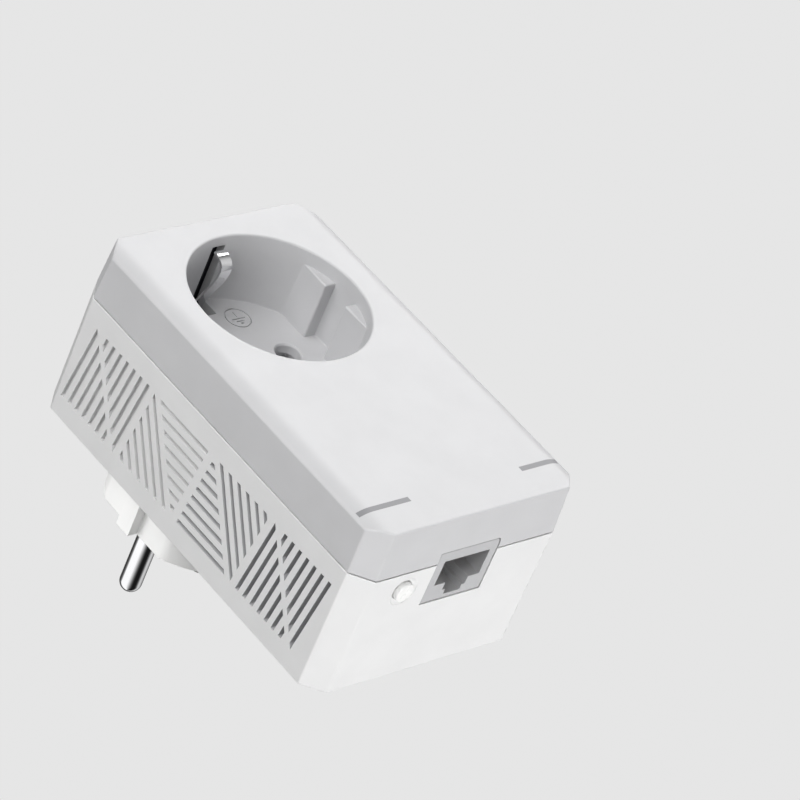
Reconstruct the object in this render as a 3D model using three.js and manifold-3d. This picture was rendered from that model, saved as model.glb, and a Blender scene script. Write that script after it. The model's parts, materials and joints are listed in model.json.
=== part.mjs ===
// Powerline network adapter with an earthed pass-through socket, as separate parts.
// Millimetres. X is right seen from the front, +Y points into the wall that the plug enters, +Z is up.
// The origin is the centre of the plug's end face, midway between its two pins.
import * as THREE from "three";
import { mergeVertices } from "three/addons/utils/BufferGeometryUtils.js";
import Module from "manifold-3d";

const wasm = await Module();
wasm.setup();

// ---- driving dimensions ----

const BODY_WIDTH = 55.8;
const BODY_TOP = 25.5;
const BODY_BOTTOM = -66.4;
const BODY_HEIGHT = BODY_TOP - BODY_BOTTOM;
const BODY_CENTRE_Z = (BODY_TOP + BODY_BOTTOM) / 2;
const FRONT_Y = -57.8;
const SEAM_Y = -46.3;
const BACK_Y = -17.3;
const CORNER_CHAMFER = 4.1;
const WALL = 2.0;
const FRONT_DRAFT = [0.4, 0.6]; // how far the outline draws in at the front face, across and up
const EDGE_STRIP = 4.5; // sloped strip along each long edge of the front face
const EDGE_DROP = 1.1;
const SEAM_HALF_GAP = 0.1;
const LIP = { outer: 0.3, thickness: 1.0, reach: 1.8 }; // tongue that closes the seam from inside
const FIT_GAP = 0.15; // gap around parts that fill a hole
const CLEAR = 0.3; // gap between parts that rest on each other

const SOCKET_RADIUS = 19.4;
const SOCKET_DEPTH = 16.8;
const SOCKET_WALL = 1.8;
const FLOOR_Y = FRONT_Y + SOCKET_DEPTH;
const FLOOR_BACK = FLOOR_Y + 2.2;
const GUIDE = { x: 16.3, innerZ: 3.2, outerZ: 14, start: 3.3 }; // blocks at three and nine o'clock
const PIN_SPACING = 19;
const PIN_RADIUS = 2.4;
const PIN_LENGTH = 18.6;
const PIN_HOLE_RADIUS = 2.8;
const CLIP_WIDTH = 3.0;
const CLIP_THICKNESS = 0.6;
const CLIP_SLOT = { width: 3.4, start: 2.5, innerZ: 14.8 };
const CARRIER = { halfWidth: 3, wall: 0.8, back: -37 };

const PLUG_RADIUS = 18.6;
const PLUG_FLAT = 16.1;
const PLUG_RIB_WIDTH = 4.05;
const PLUG_FLANGE_RADIUS = 20.5;
const EARTH_STRIP = { halfWidth: 2.4, inner: 17.1, outer: 17.9, from: -24, to: -2 };
const FLANGE_Y = BACK_Y - WALL - 0.2;
const PLUG_INNER_Y = FLANGE_Y - 2.1;

const PORT_X = 0.4;
const PORT_WIDTH = 16;
const PORT_Y = [-49.0, -36.0];
const PORT_Z = [BODY_BOTTOM + 0.1, -46];
const BUTTON = { x: -14.3, y: -41.3, radius: 2.2, proud: 0.8, flange: 2.9, stem: 1.5 };

const PCB_Y = [-35.6, -34.0];
const BOARD = { halfWidth: 24, low: -62, high: -25 };
const BOARD_REST = { radius: 1.8, x: 21, z: -29 };
const PCB_FRONT = PCB_Y[0] - CLEAR;
const PCB_REAR = PCB_Y[1] + CLEAR;
const UPPER_POSTS = [20.6, 19.6];
const LOWER_POSTS = [21.4, -60.4];
const SCREW_SEAT_Y = -30;
const POST_END_Y = -38.0;
const SCREW = { head: 2.3, shank: 1.5, tip: -50.5, drive: 1.2 };
const POST = { radius: 3.6, headHole: 2.6, shankHole: 1.8, bossRadius: 3.1, threadEnd: -51 };

const SHUTTER = { halfWidth: 14.5, front: -38.5, back: -36.5, low: -3.6, rampHalf: 3.2 };
const SHUTTER_TOP = 4.2;
const SPRING_TOP = 16.0;
const RETAINER = { halfWidth: 17.5, front: -36.1, back: -34.3, low: -8, high: 17.8, wall: 2.5 };

const LINE_ROUND = 64; // segments of a large circle

// ---- solids from three.js geometry ----

function solid(geometry) {
  const bare = geometry.clone();
  bare.deleteAttribute("normal");
  bare.deleteAttribute("uv");
  const merged = mergeVertices(bare, 1e-4);
  const corners = merged.index.array;
  const kept = [];
  for (let i = 0; i < corners.length; i += 3) {
    const [a, b, c] = corners.slice(i, i + 3);
    if (a !== b && b !== c && c !== a) kept.push(a, b, c);
  }
  return new wasm.Manifold(
    new wasm.Mesh({
      numProp: 3,
      vertProperties: merged.attributes.position.array,
      triVerts: new Uint32Array(kept),
    }),
  );
}

const joined = (solids) => solids.reduce((sum, piece) => sum.add(piece));
const cutBy = (body, tools) => tools.reduce((rest, tool) => rest.subtract(tool), body);
const bothSides = (make) => [make(-1), make(1)];

function box(xs, ys, zs) {
  const [x, y, z] = [xs, ys, zs].map((span) => [Math.min(...span), Math.max(...span)]);
  const geometry = new THREE.BoxGeometry(x[1] - x[0], y[1] - y[0], z[1] - z[0]);
  geometry.translate((x[0] + x[1]) / 2, (y[0] + y[1]) / 2, (z[0] + z[1]) / 2);
  return solid(geometry);
}

function rod(axis, radius, from, to, [a, b], segments = 24) {
  const geometry = new THREE.CylinderGeometry(radius, radius, Math.abs(to - from), segments);
  const middle = (from + to) / 2;
  if (axis === "x") {
    geometry.rotateZ(Math.PI / 2);
    geometry.translate(middle, a, b);
  } else if (axis === "y") {
    geometry.translate(a, middle, b);
  } else {
    geometry.rotateX(Math.PI / 2);
    geometry.translate(a, b, middle);
  }
  return solid(geometry);
}

const vectors = (points) => points.map(([a, b]) => new THREE.Vector2(a, b));

function extruded(outlines, depth) {
  const shapes = outlines.map((points) => new THREE.Shape(vectors(points)));
  return new THREE.ExtrudeGeometry(shapes, { depth, bevelEnabled: false });
}

// An outline of (x, z) points carried along Y.
function prismY(points, [from, to]) {
  const geometry = extruded([points], to - from);
  geometry.rotateX(Math.PI / 2);
  geometry.translate(0, to, 0);
  return geometry;
}

// Outlines of (y, z) points carried along X.
function prismX(outlines, [from, to]) {
  const geometry = extruded(outlines, to - from);
  const turn = new THREE.Matrix4().makeBasis(
    new THREE.Vector3(0, 1, 0),
    new THREE.Vector3(0, 0, 1),
    new THREE.Vector3(1, 0, 0),
  );
  geometry.applyMatrix4(turn);
  geometry.translate(from, 0, 0);
  return solid(geometry);
}

// An outline of (x, y) points carried along Z.
function prismZ(points, [from, to]) {
  const geometry = extruded([points], to - from);
  geometry.translate(0, 0, from);
  return solid(geometry);
}

// A profile of (radius, height) points turned about a line along Y or Z.
function turned(axis, profile, [a, b], segments = 24) {
  const geometry = new THREE.LatheGeometry(vectors(profile), segments);
  if (axis === "z") geometry.rotateX(Math.PI / 2);
  geometry.translate(a, axis === "z" ? b : 0, axis === "z" ? 0 : b);
  return solid(geometry);
}

// A round wire of the given radius through the points.
function wire(points, radius, steps, sides = 8) {
  const ring = [];
  for (let i = 0; i < sides; i++) {
    const angle = (i / sides) * 2 * Math.PI;
    ring.push(new THREE.Vector2(radius * Math.cos(angle), radius * Math.sin(angle)));
  }
  const path = new THREE.CatmullRomCurve3(points.map((p) => new THREE.Vector3(...p)));
  return solid(new THREE.ExtrudeGeometry(new THREE.Shape(ring), { steps, extrudePath: path }));
}

// ---- the body's outline ----

function outline(margin) {
  const x = BODY_WIDTH / 2 - margin;
  const z = BODY_HEIGHT / 2 - margin;
  const cut = CORNER_CHAMFER - margin * (2 - Math.SQRT2);
  const corners = [
    [x - cut, -z],
    [x, cut - z],
    [x, z - cut],
    [x - cut, z],
    [cut - x, z],
    [-x, z - cut],
    [-x, cut - z],
    [cut - x, -z],
  ];
  return corners.map(([a, b]) => [a, b + BODY_CENTRE_Z]);
}

// The cover's outer block, drawn in at the front face.
function frontBlock(range) {
  const [acrossX, acrossZ] = FRONT_DRAFT;
  const geometry = prismY(outline(0), range);
  const place = geometry.attributes.position;
  for (let i = 0; i < place.count; i++) {
    if (place.getY(i) > FRONT_Y + 1e-3) continue;
    place.setX(i, place.getX(i) - Math.sign(place.getX(i)) * acrossX);
    place.setZ(i, place.getZ(i) - Math.sign(place.getZ(i) - BODY_CENTRE_Z) * acrossZ);
  }
  return solid(geometry);
}

const innerBlock = (margin, range) => solid(prismY(outline(margin), range));

function innerRing(outerMargin, innerMargin, range) {
  const inside = [range[0] - 1, range[1] + 1];
  return innerBlock(outerMargin, range).subtract(innerBlock(innerMargin, inside));
}

// ---- vent pattern on each side of the rear casing ----

const VENT = {
  y: -31.7,
  z: -20.0,
  halfWidth: 9.7,
  slot: 0.95,
  tilt: 0.137, // rise of the near-level slots
  steep: 0.71, // fall of the diagonals
  grooveDepth: 0.9,
};

function crossing(p, d, q, e) {
  const t = ((q[0] - p[0]) * e[1] - (q[1] - p[1]) * e[0]) / (d[0] * e[1] - d[1] * e[0]);
  return [p[0] + t * d[0], p[1] + t * d[1]];
}

// A slot along d through p, cut off square or slanting by one line at each end.
function ventSlot(p, d, startCut, endCut) {
  const length = Math.hypot(...d);
  const side = [(-d[1] / length) * (VENT.slot / 2), (d[0] / length) * (VENT.slot / 2)];
  const upper = [p[0] + side[0], p[1] + side[1]];
  const lower = [p[0] - side[0], p[1] - side[1]];
  return [
    crossing(lower, d, ...startCut),
    crossing(lower, d, ...endCut),
    crossing(upper, d, ...endCut),
    crossing(upper, d, ...startCut),
  ];
}

function upperVentSlots() {
  const { halfWidth, tilt, steep } = VENT;
  const level = [1, tilt];
  const falling = [1, -steep];
  const rightEdge = [[halfWidth, 0], [0, 1]];
  const slots = [];
  // Near-level slots in two triangles, one the other turned half round about the block's centre.
  const blockZ = 29.7;
  const bar = [[0, blockZ + 0.75], falling];
  for (let k = 0; k < 7; k++) {
    const through = [halfWidth, blockZ + 9.87 - 2.325 * k];
    const slot = ventSlot(through, level, bar, rightEdge);
    slots.push(slot);
    slots.push(slot.map(([u, v]) => [-u, 2 * blockZ - v]));
  }
  // Diagonal slots that start on a near-level line.
  const topLine = [[0, 18.83], level];
  for (let k = 0; k < 6; k++) {
    const u = -8.78 + 3.357 * k;
    slots.push(ventSlot([u, 18.83 + tilt * u], falling, topLine, rightEdge));
  }
  // Upright slots in the triangle below the diagonals.
  const slantTop = [[0, 8.95], falling];
  const slantBottom = [[0, 0.96], level];
  for (let k = 0; k < 8; k++) {
    slots.push(ventSlot([-9.04 + 2.41 * k, 0], [0, 1], slantBottom, slantTop));
  }
  return slots;
}

const placed = (slots, turn) =>
  slots.map((slot) => slot.map(([u, v]) => [VENT.y + turn * u, VENT.z + turn * v]));

// The upper half is shallow grooves; the lower half is the same pattern turned half round, cut through.
function ventCutters(side) {
  const outer = BODY_WIDTH / 2 + 1;
  const span = (inner) => (side > 0 ? [inner, outer] : [-outer, -inner]);
  const upper = placed(upperVentSlots(), 1);
  const lower = placed(upperVentSlots(), -1);
  return [
    prismX(upper, span(BODY_WIDTH / 2 - VENT.grooveDepth)),
    prismX(lower, span(BODY_WIDTH / 2 - WALL - 0.05)),
  ];
}

// ---- housing ----

function clipSlots() {
  return bothSides((side) => {
    const across = [-CLIP_SLOT.width / 2, CLIP_SLOT.width / 2];
    const radial = [side * CLIP_SLOT.innerZ, side * (SOCKET_RADIUS + SOCKET_WALL + 0.6)];
    const wallSlot = box(across, [FRONT_Y + CLIP_SLOT.start, FLOOR_BACK + 1], [side * 18.5, radial[1]]);
    const floorSlot = box(across, [FLOOR_Y - 1, FLOOR_BACK + 1], radial);
    return wallSlot.add(floorSlot);
  });
}

function socketGuides() {
  const span = [FRONT_Y + GUIDE.start, FLOOR_Y + 0.5];
  const round = rod("y", SOCKET_RADIUS + 0.9, span[0], span[1], [0, 0], LINE_ROUND);
  const blocks = [];
  for (const x of [-1, 1]) {
    for (const z of [-1, 1]) {
      blocks.push(box([x * GUIDE.x, x * 22], span, [z * GUIDE.innerZ, z * GUIDE.outerZ]));
    }
  }
  return joined(blocks).intersect(round);
}

function portWindow(inward) {
  const halfWidth = PORT_WIDTH / 2 + FIT_GAP;
  return box(
    [PORT_X - halfWidth, PORT_X + halfWidth],
    [PORT_Y[0] - FIT_GAP, PORT_Y[1] + FIT_GAP],
    [BODY_BOTTOM - 1, inward],
  );
}

function frontCover() {
  const edge = SEAM_Y - SEAM_HALF_GAP;
  const half = BODY_WIDTH / 2;
  const strips = bothSides((side) => {
    const slope = EDGE_DROP / EDGE_STRIP;
    const points = [
      [side * (half - EDGE_STRIP), FRONT_Y],
      [side * (half - EDGE_STRIP), FRONT_Y - 1],
      [side * (half + 1), FRONT_Y - 1],
      [side * (half + 1), FRONT_Y + slope * (EDGE_STRIP + 1)],
    ];
    return prismZ(points, [BODY_BOTTOM - 1, BODY_TOP + 1]);
  });
  const shell = cutBy(frontBlock([FRONT_Y, edge]), [
    ...strips,
    innerBlock(WALL, [FRONT_Y + WALL, SEAM_Y + 1]),
  ]);
  const lipInner = WALL + LIP.outer + LIP.thickness;
  const lip = innerRing(WALL + LIP.outer, lipInner, [edge - 1, SEAM_Y + LIP.reach]);
  const lipRoot = innerRing(WALL - 0.2, lipInner, [edge - 3, edge]);
  const well = rod("y", SOCKET_RADIUS + SOCKET_WALL, FRONT_Y + 1, FLOOR_BACK, [0, 0], LINE_ROUND);
  const recess = rod("y", SOCKET_RADIUS, FRONT_Y - 1, FLOOR_Y, [0, 0], LINE_ROUND);
  const bosses = [];
  const threads = [];
  for (const [x, z] of [UPPER_POSTS, LOWER_POSTS]) {
    for (const side of [-1, 1]) {
      bosses.push(rod("y", POST.bossRadius, FRONT_Y + WALL - 0.5, POST_END_Y - CLEAR, [side * x, z]));
      threads.push(rod("y", POST.shankHole, POST.threadEnd, POST_END_Y + 1, [side * x, z], 12));
    }
  }
  const boardRests = bothSides((side) =>
    rod("y", BOARD_REST.radius, FRONT_Y + WALL - 0.5, PCB_FRONT, [side * BOARD_REST.x, BOARD_REST.z], 12),
  );
  const carrierNotch = box(
    [-CARRIER.halfWidth - CLEAR, CARRIER.halfWidth + CLEAR],
    [edge - 4, SEAM_Y + LIP.reach + 1],
    [SOCKET_RADIUS + SOCKET_WALL + 0.1, BODY_TOP - WALL],
  );
  const pinHoles = bothSides((side) =>
    rod("y", PIN_HOLE_RADIUS, FLOOR_Y - 1, FLOOR_BACK + 1, [(side * PIN_SPACING) / 2, 0], 32),
  );
  const ledHoles = LED_HEIGHTS.map((z) =>
    rod("x", LED_WINDOW + FIT_GAP, half - 4, half + 1, [LIGHT_PIPE_Y, z], 16),
  );
  return cutBy(
    joined([cutBy(joined([shell, lip, lipRoot, well, ...bosses, ...boardRests]), [recess]), socketGuides()]),
    [...clipSlots(), ...pinHoles, ...threads, ...ledHoles, carrierNotch, portWindow(-42)],
  );
}

function screwPosts() {
  const posts = [];
  const holes = [];
  for (const [x, z] of [UPPER_POSTS, LOWER_POSTS]) {
    for (const side of [-1, 1]) {
      const at = [side * x, z];
      posts.push(rod("y", POST.radius, POST_END_Y, BACK_Y - 1, at));
      holes.push(rod("y", POST.headHole, SCREW_SEAT_Y, BACK_Y + 1, at, 20));
      holes.push(rod("y", POST.shankHole, POST_END_Y - 1, SCREW_SEAT_Y + 1, at, 12));
    }
  }
  return { posts, holes };
}

// The plug's section: a disc with a flat on each side and a rib standing on each flat.
function plugSection(margin, [from, to]) {
  const disc = rod("y", PLUG_RADIUS + margin, from, to, [0, 0], LINE_ROUND);
  const between = box([-PLUG_FLAT - margin, PLUG_FLAT + margin], [from - 1, to + 1], [-30, 30]);
  const ribHalf = PLUG_RIB_WIDTH / 2 + margin;
  const ribs = box([-PLUG_RADIUS - 1, PLUG_RADIUS + 1], [from - 1, to + 1], [-ribHalf, ribHalf]);
  return disc.intersect(between.add(ribs));
}

function rearCasing() {
  const edge = SEAM_Y + SEAM_HALF_GAP;
  const block = innerBlock(0, [edge, BACK_Y]);
  const hollow = innerBlock(WALL, [SEAM_Y - 1, BACK_Y - WALL]);
  const { posts, holes } = screwPosts();
  const insidePosts = joined(posts).intersect(innerBlock(WALL / 2, [POST_END_Y - 1, BACK_Y]));
  return cutBy(block.subtract(hollow).add(insidePosts), [
    ...holes,
    plugSection(FIT_GAP, [BACK_Y - WALL - 1, BACK_Y + 1]),
    portWindow(BODY_BOTTOM + WALL + 1),
    rod("z", BUTTON.radius + FIT_GAP, BODY_BOTTOM - 1, BODY_BOTTOM + WALL + 1, [BUTTON.x, BUTTON.y]),
    ...ventCutters(-1),
    ...ventCutters(1),
  ]);
}

// ---- plug ----

const SLEEVE = { inner: 2.7, outer: 3.7, from: -35.0, to: -15.5 };
const EARTH_PIN_HOLE = { z: 10, mouth: 2.6, bore: 3.4, inset: 3, sleeveInner: 2.3, sleeveFrom: -28 };
const PIN_FOOT_Y = -20.6;
const PIN_TIP_STEPS = 6;

function plugBody() {
  const flange = rod("y", PLUG_FLANGE_RADIUS, PLUG_INNER_Y, FLANGE_Y, [0, 0], LINE_ROUND);
  const bores = bothSides((side) => {
    const at = [(side * PIN_SPACING) / 2, 0];
    const pinBore = rod("y", PIN_RADIUS + FIT_GAP, SLEEVE.to, 1, at);
    return pinBore.add(rod("y", SLEEVE.outer + 0.25, PLUG_INNER_Y - 1, SLEEVE.to + CLEAR, at));
  });
  const { halfWidth, inner, to } = EARTH_STRIP;
  const channelHalf = halfWidth + CLEAR;
  const channels = bothSides((side) =>
    box([-channelHalf, channelHalf], [PLUG_INNER_Y - 1, to + CLEAR], [side * (inner - CLEAR), side * 21]),
  );
  const { mouth, bore, inset } = EARTH_PIN_HOLE;
  const at = [0, EARTH_PIN_HOLE.z];
  const earthHole = rod("y", mouth, -inset - 1, 1, at);
  const earthBore = rod("y", bore, PLUG_INNER_Y - 1, -inset, at);
  return cutBy(plugSection(0, [FLANGE_Y - 1, 0]).add(flange), [...bores, ...channels, earthHole, earthBore]);
}

function plugPin(side) {
  const profile = [[0, PIN_FOOT_Y], [PIN_RADIUS, PIN_FOOT_Y]];
  const arcStart = PIN_LENGTH - PIN_RADIUS;
  for (let i = 0; i <= PIN_TIP_STEPS; i++) {
    const angle = (i / PIN_TIP_STEPS) * (Math.PI / 2);
    const radius = i === PIN_TIP_STEPS ? 0 : PIN_RADIUS * Math.cos(angle);
    profile.push([radius, arcStart + PIN_RADIUS * Math.sin(angle)]);
  }
  return turned("y", profile, [(side * PIN_SPACING) / 2, 0], 24);
}

function plugEarthStrip(side) {
  const { halfWidth, inner, outer, from, to } = EARTH_STRIP;
  return box([-halfWidth, halfWidth], [from, to], [side * inner, side * outer]);
}

function tube(outer, inner, range, at) {
  return rod("y", outer, ...range, at).subtract(rod("y", inner, range[0] - 1, range[1] + 1, at));
}

function plugEarthSleeve() {
  const { z, bore, inset, sleeveInner, sleeveFrom } = EARTH_PIN_HOLE;
  return tube(bore - CLEAR, sleeveInner, [sleeveFrom, -inset - 0.4], [0, z]);
}

// ---- socket works ----

// Centre line of an earth clip as (y, distance from the socket's axis), from its foot to its free tip.
const CLIP_LINE = [
  [-36.0, 19.1],
  [-39.8, 19.0],
  [-42.2, 18.5],
  [-44.8, 17.5],
  [-47.3, 16.5],
  [-49.6, 15.8],
  [-51.3, 15.5],
  [-52.7, 15.6],
  [-53.7, 16.3],
  [-54.3, 17.4],
  [-54.5, 18.8],
];

// A strip of the given thickness that follows a (y, z) line, carried across X.
function bentStrip(line, thickness, range) {
  const left = [];
  const right = [];
  line.forEach(([y, z], i) => {
    const before = line[Math.max(i - 1, 0)];
    const after = line[Math.min(i + 1, line.length - 1)];
    const length = Math.hypot(after[0] - before[0], after[1] - before[1]);
    const normal = [-(after[1] - before[1]) / length, (after[0] - before[0]) / length];
    left.push([y + (normal[0] * thickness) / 2, z + (normal[1] * thickness) / 2]);
    right.push([y - (normal[0] * thickness) / 2, z - (normal[1] * thickness) / 2]);
  });
  return prismX([[...left, ...right.reverse()]], range);
}

function earthClip(side) {
  const line = CLIP_LINE.map(([y, r]) => [y, side * r]);
  return bentStrip(line, CLIP_THICKNESS, [-CLIP_WIDTH / 2, CLIP_WIDTH / 2]);
}

function earthBridge() {
  const half = CLIP_WIDTH / 2;
  const [barFront, barBack] = [-31.9, -31.2];
  const { inner, outer, from } = EARTH_STRIP;
  const foot = { inner: 18.8, outer: 19.4 };
  const crossbar = box([-half, half], [barFront, barBack], [-foot.outer, foot.outer]);
  const feet = bothSides((side) =>
    box([-half, half], [CLIP_LINE[0][0] + CLEAR, barBack], [side * foot.inner, side * foot.outer]),
  );
  const legs = bothSides((side) =>
    box([-half, half], [barFront, from - CLEAR], [side * inner, side * outer]),
  );
  return joined([crossbar, ...feet, ...legs]);
}

// A dark channel behind each earth clip that closes its slot.
function clipCarrier(side) {
  const { halfWidth, wall, back } = CARRIER;
  const front = FRONT_Y + WALL + CLEAR;
  const well = SOCKET_RADIUS + SOCKET_WALL;
  const channel = box([-halfWidth, halfWidth], [front, back], [side * (well + FIT_GAP), side * (well + 1.9)]);
  const inside = [wall - halfWidth, halfWidth - wall];
  const hollow = box(inside, [front + wall, back + 1], [side * (well - 1), side * (well + 0.8)]);
  return channel.subtract(hollow);
}

function contactSleeve(side) {
  const at = (side * PIN_SPACING) / 2;
  const slit = box([at - 0.4, at + 0.4], [SLEEVE.from - 1, -24], [-6, 6]);
  return tube(SLEEVE.outer, SLEEVE.inner, [SLEEVE.from, SLEEVE.to], [at, 0]).subtract(slit);
}

function socketShutter() {
  const { halfWidth, front, back, low, rampHalf } = SHUTTER;
  const plate = box([-halfWidth, halfWidth], [front, back], [low, SHUTTER_TOP]);
  // A sloped pocket behind each pin hole turns the push of a pin into the shutter's slide.
  const ramps = bothSides((side) => {
    const middle = (side * PIN_SPACING) / 2;
    const slope = [
      [front - 0.7, low + 1],
      [front, low + 1],
      [back - 0.6, SHUTTER_TOP - 1],
      [front - 0.7, SHUTTER_TOP - 1],
    ];
    return prismX([slope], [middle - rampHalf, middle + rampHalf]);
  });
  return cutBy(plate, ramps);
}

function shutterRetainer() {
  const { halfWidth, front, back, low, high, wall } = RETAINER;
  const frontY = FLOOR_BACK + CLEAR;
  const inside = front + 0.4;
  const plate = box([-halfWidth, halfWidth], [front, back], [low, high]);
  const sides = bothSides((side) =>
    box([side * (halfWidth - wall), side * halfWidth], [frontY, inside], [low, high]),
  );
  const sill = box([-halfWidth, halfWidth], [frontY, inside], [low, SHUTTER.low - CLEAR]);
  const stops = bothSides((side) =>
    box([side * 3.2, side * halfWidth], [frontY, inside], [SPRING_TOP + CLEAR, high]),
  );
  const mouths = bothSides((side) =>
    rod("y", SLEEVE.outer + 0.25, front - 1, back + 1, [(side * PIN_SPACING) / 2, 0]),
  );
  const clipRoom = box([-3, 3], [front - 1, back + 1], [13, 19]);
  return cutBy(joined([plate, ...sides, sill, ...stops]), [...mouths, clipRoom]);
}

function shutterSpring(side) {
  const coil = { x: 7, y: -37.5, turns: 5, radius: 1.15, wire: 0.22, steps: 10 };
  const start = SHUTTER_TOP + CLEAR + coil.wire;
  const rise = SPRING_TOP - coil.wire - start;
  const points = [];
  for (let i = 0; i <= coil.turns * coil.steps; i++) {
    const angle = (i / coil.steps) * 2 * Math.PI;
    const height = start + (rise * i) / (coil.turns * coil.steps);
    const across = side * coil.x + coil.radius * Math.cos(angle);
    points.push([across, coil.y + coil.radius * Math.sin(angle), height]);
  }
  return wire(points, coil.wire, coil.turns * coil.steps, 5);
}

// ---- network port, button and lights ----

// The opening's three steps: the plug's body, then the two widths of its latch.
const JACK_STEPS = [
  { halfWidth: 6.05, y: [-46.6, -40.3], depth: -53.5 },
  { halfWidth: 3.05, y: [-40.4, -38.4], depth: -54.5 },
  { halfWidth: 2.2, y: [-38.5, -37.1], depth: -56 },
];
const JACK_CONTACT = { pitch: 1.02, halfWidth: 0.2, thickness: 0.35 };
const JACK_CONTACT_LINE = [
  [-45.15, -53.8],
  [-45.15, -56.5],
  [-46.2, -61.5],
  [-46.25, -62.6],
];

function networkJack() {
  const half = PORT_WIDTH / 2;
  const body = box([PORT_X - half, PORT_X + half], PORT_Y, PORT_Z);
  const pockets = JACK_STEPS.map(({ halfWidth, y, depth }) =>
    box([PORT_X - halfWidth, PORT_X + halfWidth], y, [BODY_BOTTOM - 1, depth]),
  );
  return cutBy(body, pockets);
}

function jackContact(index) {
  const { pitch, halfWidth, thickness } = JACK_CONTACT;
  const middle = PORT_X + (index - 3.5) * pitch;
  return bentStrip(JACK_CONTACT_LINE, thickness, [middle - halfWidth, middle + halfWidth]);
}

const SWITCH_FACE = -59.5;
const PLUNGER_TIP = -61.2;
const BUTTON_GAP = 0.35;
const TACT = { halfWidth: 3, back: -56, well: 1.9, wellEnd: -58.2, plunger: 1.6, plungerEnd: -58.9 };

function pairButton() {
  const { x, y, radius, proud, flange, stem } = BUTTON;
  const low = BODY_BOTTOM - proud;
  const inside = BODY_BOTTOM + WALL;
  const profile = [
    [0, low],
    [radius * 0.6, low + 0.12],
    [radius - 0.15, low + 0.45],
    [radius, low + 0.75],
    [radius, inside + CLEAR],
    [flange, inside + CLEAR],
    [flange, inside + CLEAR + 1],
    [stem, inside + CLEAR + 1],
    [stem, PLUNGER_TIP - BUTTON_GAP],
    [0, PLUNGER_TIP - BUTTON_GAP],
  ];
  return turned("z", profile, [x, y], 28);
}

function tactSwitch() {
  const half = TACT.halfWidth;
  const { x, y } = BUTTON;
  const body = box([x - half, x + half], [y - half, PCB_FRONT], [SWITCH_FACE, TACT.back]);
  return body.subtract(rod("z", TACT.well, SWITCH_FACE - 1, TACT.wellEnd, [x, y], 16));
}

const tactPlunger = () => rod("z", TACT.plunger, PLUNGER_TIP, TACT.plungerEnd, [BUTTON.x, BUTTON.y], 16);

const LED_HEIGHTS = [-35, -40, -45];
const LED_WINDOW = 0.9;
const LIGHT_PIPE_Y = -51.5;
const LIGHT_PIPE = { x: [22.0, 24.1], halfArm: 1, webY: [-46, -43.5] };

function lightPipe() {
  const { x, halfArm, webY } = LIGHT_PIPE;
  const arms = LED_HEIGHTS.map((z) =>
    box(x, [LIGHT_PIPE_Y - halfArm, PCB_FRONT - 1.4], [z - halfArm, z + halfArm]),
  );
  const pegs = LED_HEIGHTS.map((z) =>
    rod("x", LED_WINDOW, x[1] - 0.6, BODY_WIDTH / 2 - 0.1, [LIGHT_PIPE_Y, z], 16),
  );
  const ends = [LED_HEIGHTS[2] - halfArm, LED_HEIGHTS[0] + halfArm];
  return joined([...arms, ...pegs, box(x, webY, ends)]);
}

const STATUS_LED = { x: [22.5, 23.8], height: 1, half: 0.7 };

function statusLed(z) {
  const { x, height, half } = STATUS_LED;
  return box(x, [PCB_FRONT - height, PCB_FRONT], [z - half, z + half]);
}

// ---- circuit board and its parts ----

// Boxes soldered on the front (toward -Y) and on the rear of the board: spans along X and Z, and height.
const ON_FRONT = {
  powerline_chip: { x: [-20, -10], z: [-46, -36], height: 1.2 },
  network_transformer: { x: [-6, 6], z: [-43, -34], height: 5 },
  coupling_transformer: { x: [10, 18], z: [-45, -37], height: 6 },
  memory_chip: { x: [5, 11], z: [-32, -27], height: 1.5 },
  crystal: { x: [-6, -2.5], z: [-31, -28], height: 1.2 },
};
const ON_REAR = {
  power_transformer: { x: [-6, 8], z: [-52, -39], height: 11.5 },
  x_capacitor: { x: [8.5, 22.5], z: [-37.5, -31], height: 11 },
  bridge_rectifier: { x: [13, 20], z: [-50, -43], height: 2.4 },
};
const HEAT_SINK = { low: -47, high: -35, left: -21, base: 1.8, fins: 5, fin: 1.2, pitch: 2.7, height: 3.8 };
const CHOKE = { x: -14, z: -36.5, ring: 5, bundle: 2.3 };
const BULK_CAPACITOR = { x: [-15, 3], z: -57.2, radius: 4.8 };
const OUTPUT_CAPACITOR = { x: 12.5, z: -57, radius: 3.1, height: 9 };
const FUSE = { x: [-21, -11], z: -46, radius: 1.8 };
const VARISTOR = { x: [2, 5.2], z: -31, radius: 4.2 };

const frontPart = ({ x, z, height }) => box(x, [PCB_FRONT - height, PCB_FRONT], z);
const rearPart = ({ x, z, height }) => box(x, [PCB_REAR, PCB_REAR + height], z);
const lyingPart = ({ x, z, radius }) => rod("x", radius, ...x, [PCB_REAR + radius, z]);

function mainBoard() {
  const { halfWidth, low, high } = BOARD;
  const board = box([-halfWidth, halfWidth], PCB_Y, [low, high]);
  const [x, z] = LOWER_POSTS;
  const room = POST.radius + 0.8;
  const notches = bothSides((side) =>
    box([side * (x - room), side * (halfWidth + 1)], [PCB_Y[0] - 1, PCB_Y[1] + 1], [low - 1, z + room]),
  );
  return cutBy(board, notches);
}

function heatSink() {
  const { low, high, left, base, fins, fin, pitch, height } = HEAT_SINK;
  const rear = PCB_FRONT - ON_FRONT.powerline_chip.height - CLEAR;
  const right = left + pitch * (fins - 1) + fin;
  const pieces = [box([left, right], [rear - base, rear], [low, high])];
  for (let i = 0; i < fins; i++) {
    const x = left + i * pitch;
    pieces.push(box([x, x + fin], [rear - base - height, rear - 1], [low, high]));
  }
  return joined(pieces);
}

function choke() {
  const { x, z, ring, bundle } = CHOKE;
  const geometry = new THREE.TorusGeometry(ring, bundle, 8, 16);
  geometry.rotateX(Math.PI / 2);
  geometry.translate(x, PCB_REAR + bundle, z);
  return solid(geometry);
}

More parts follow.
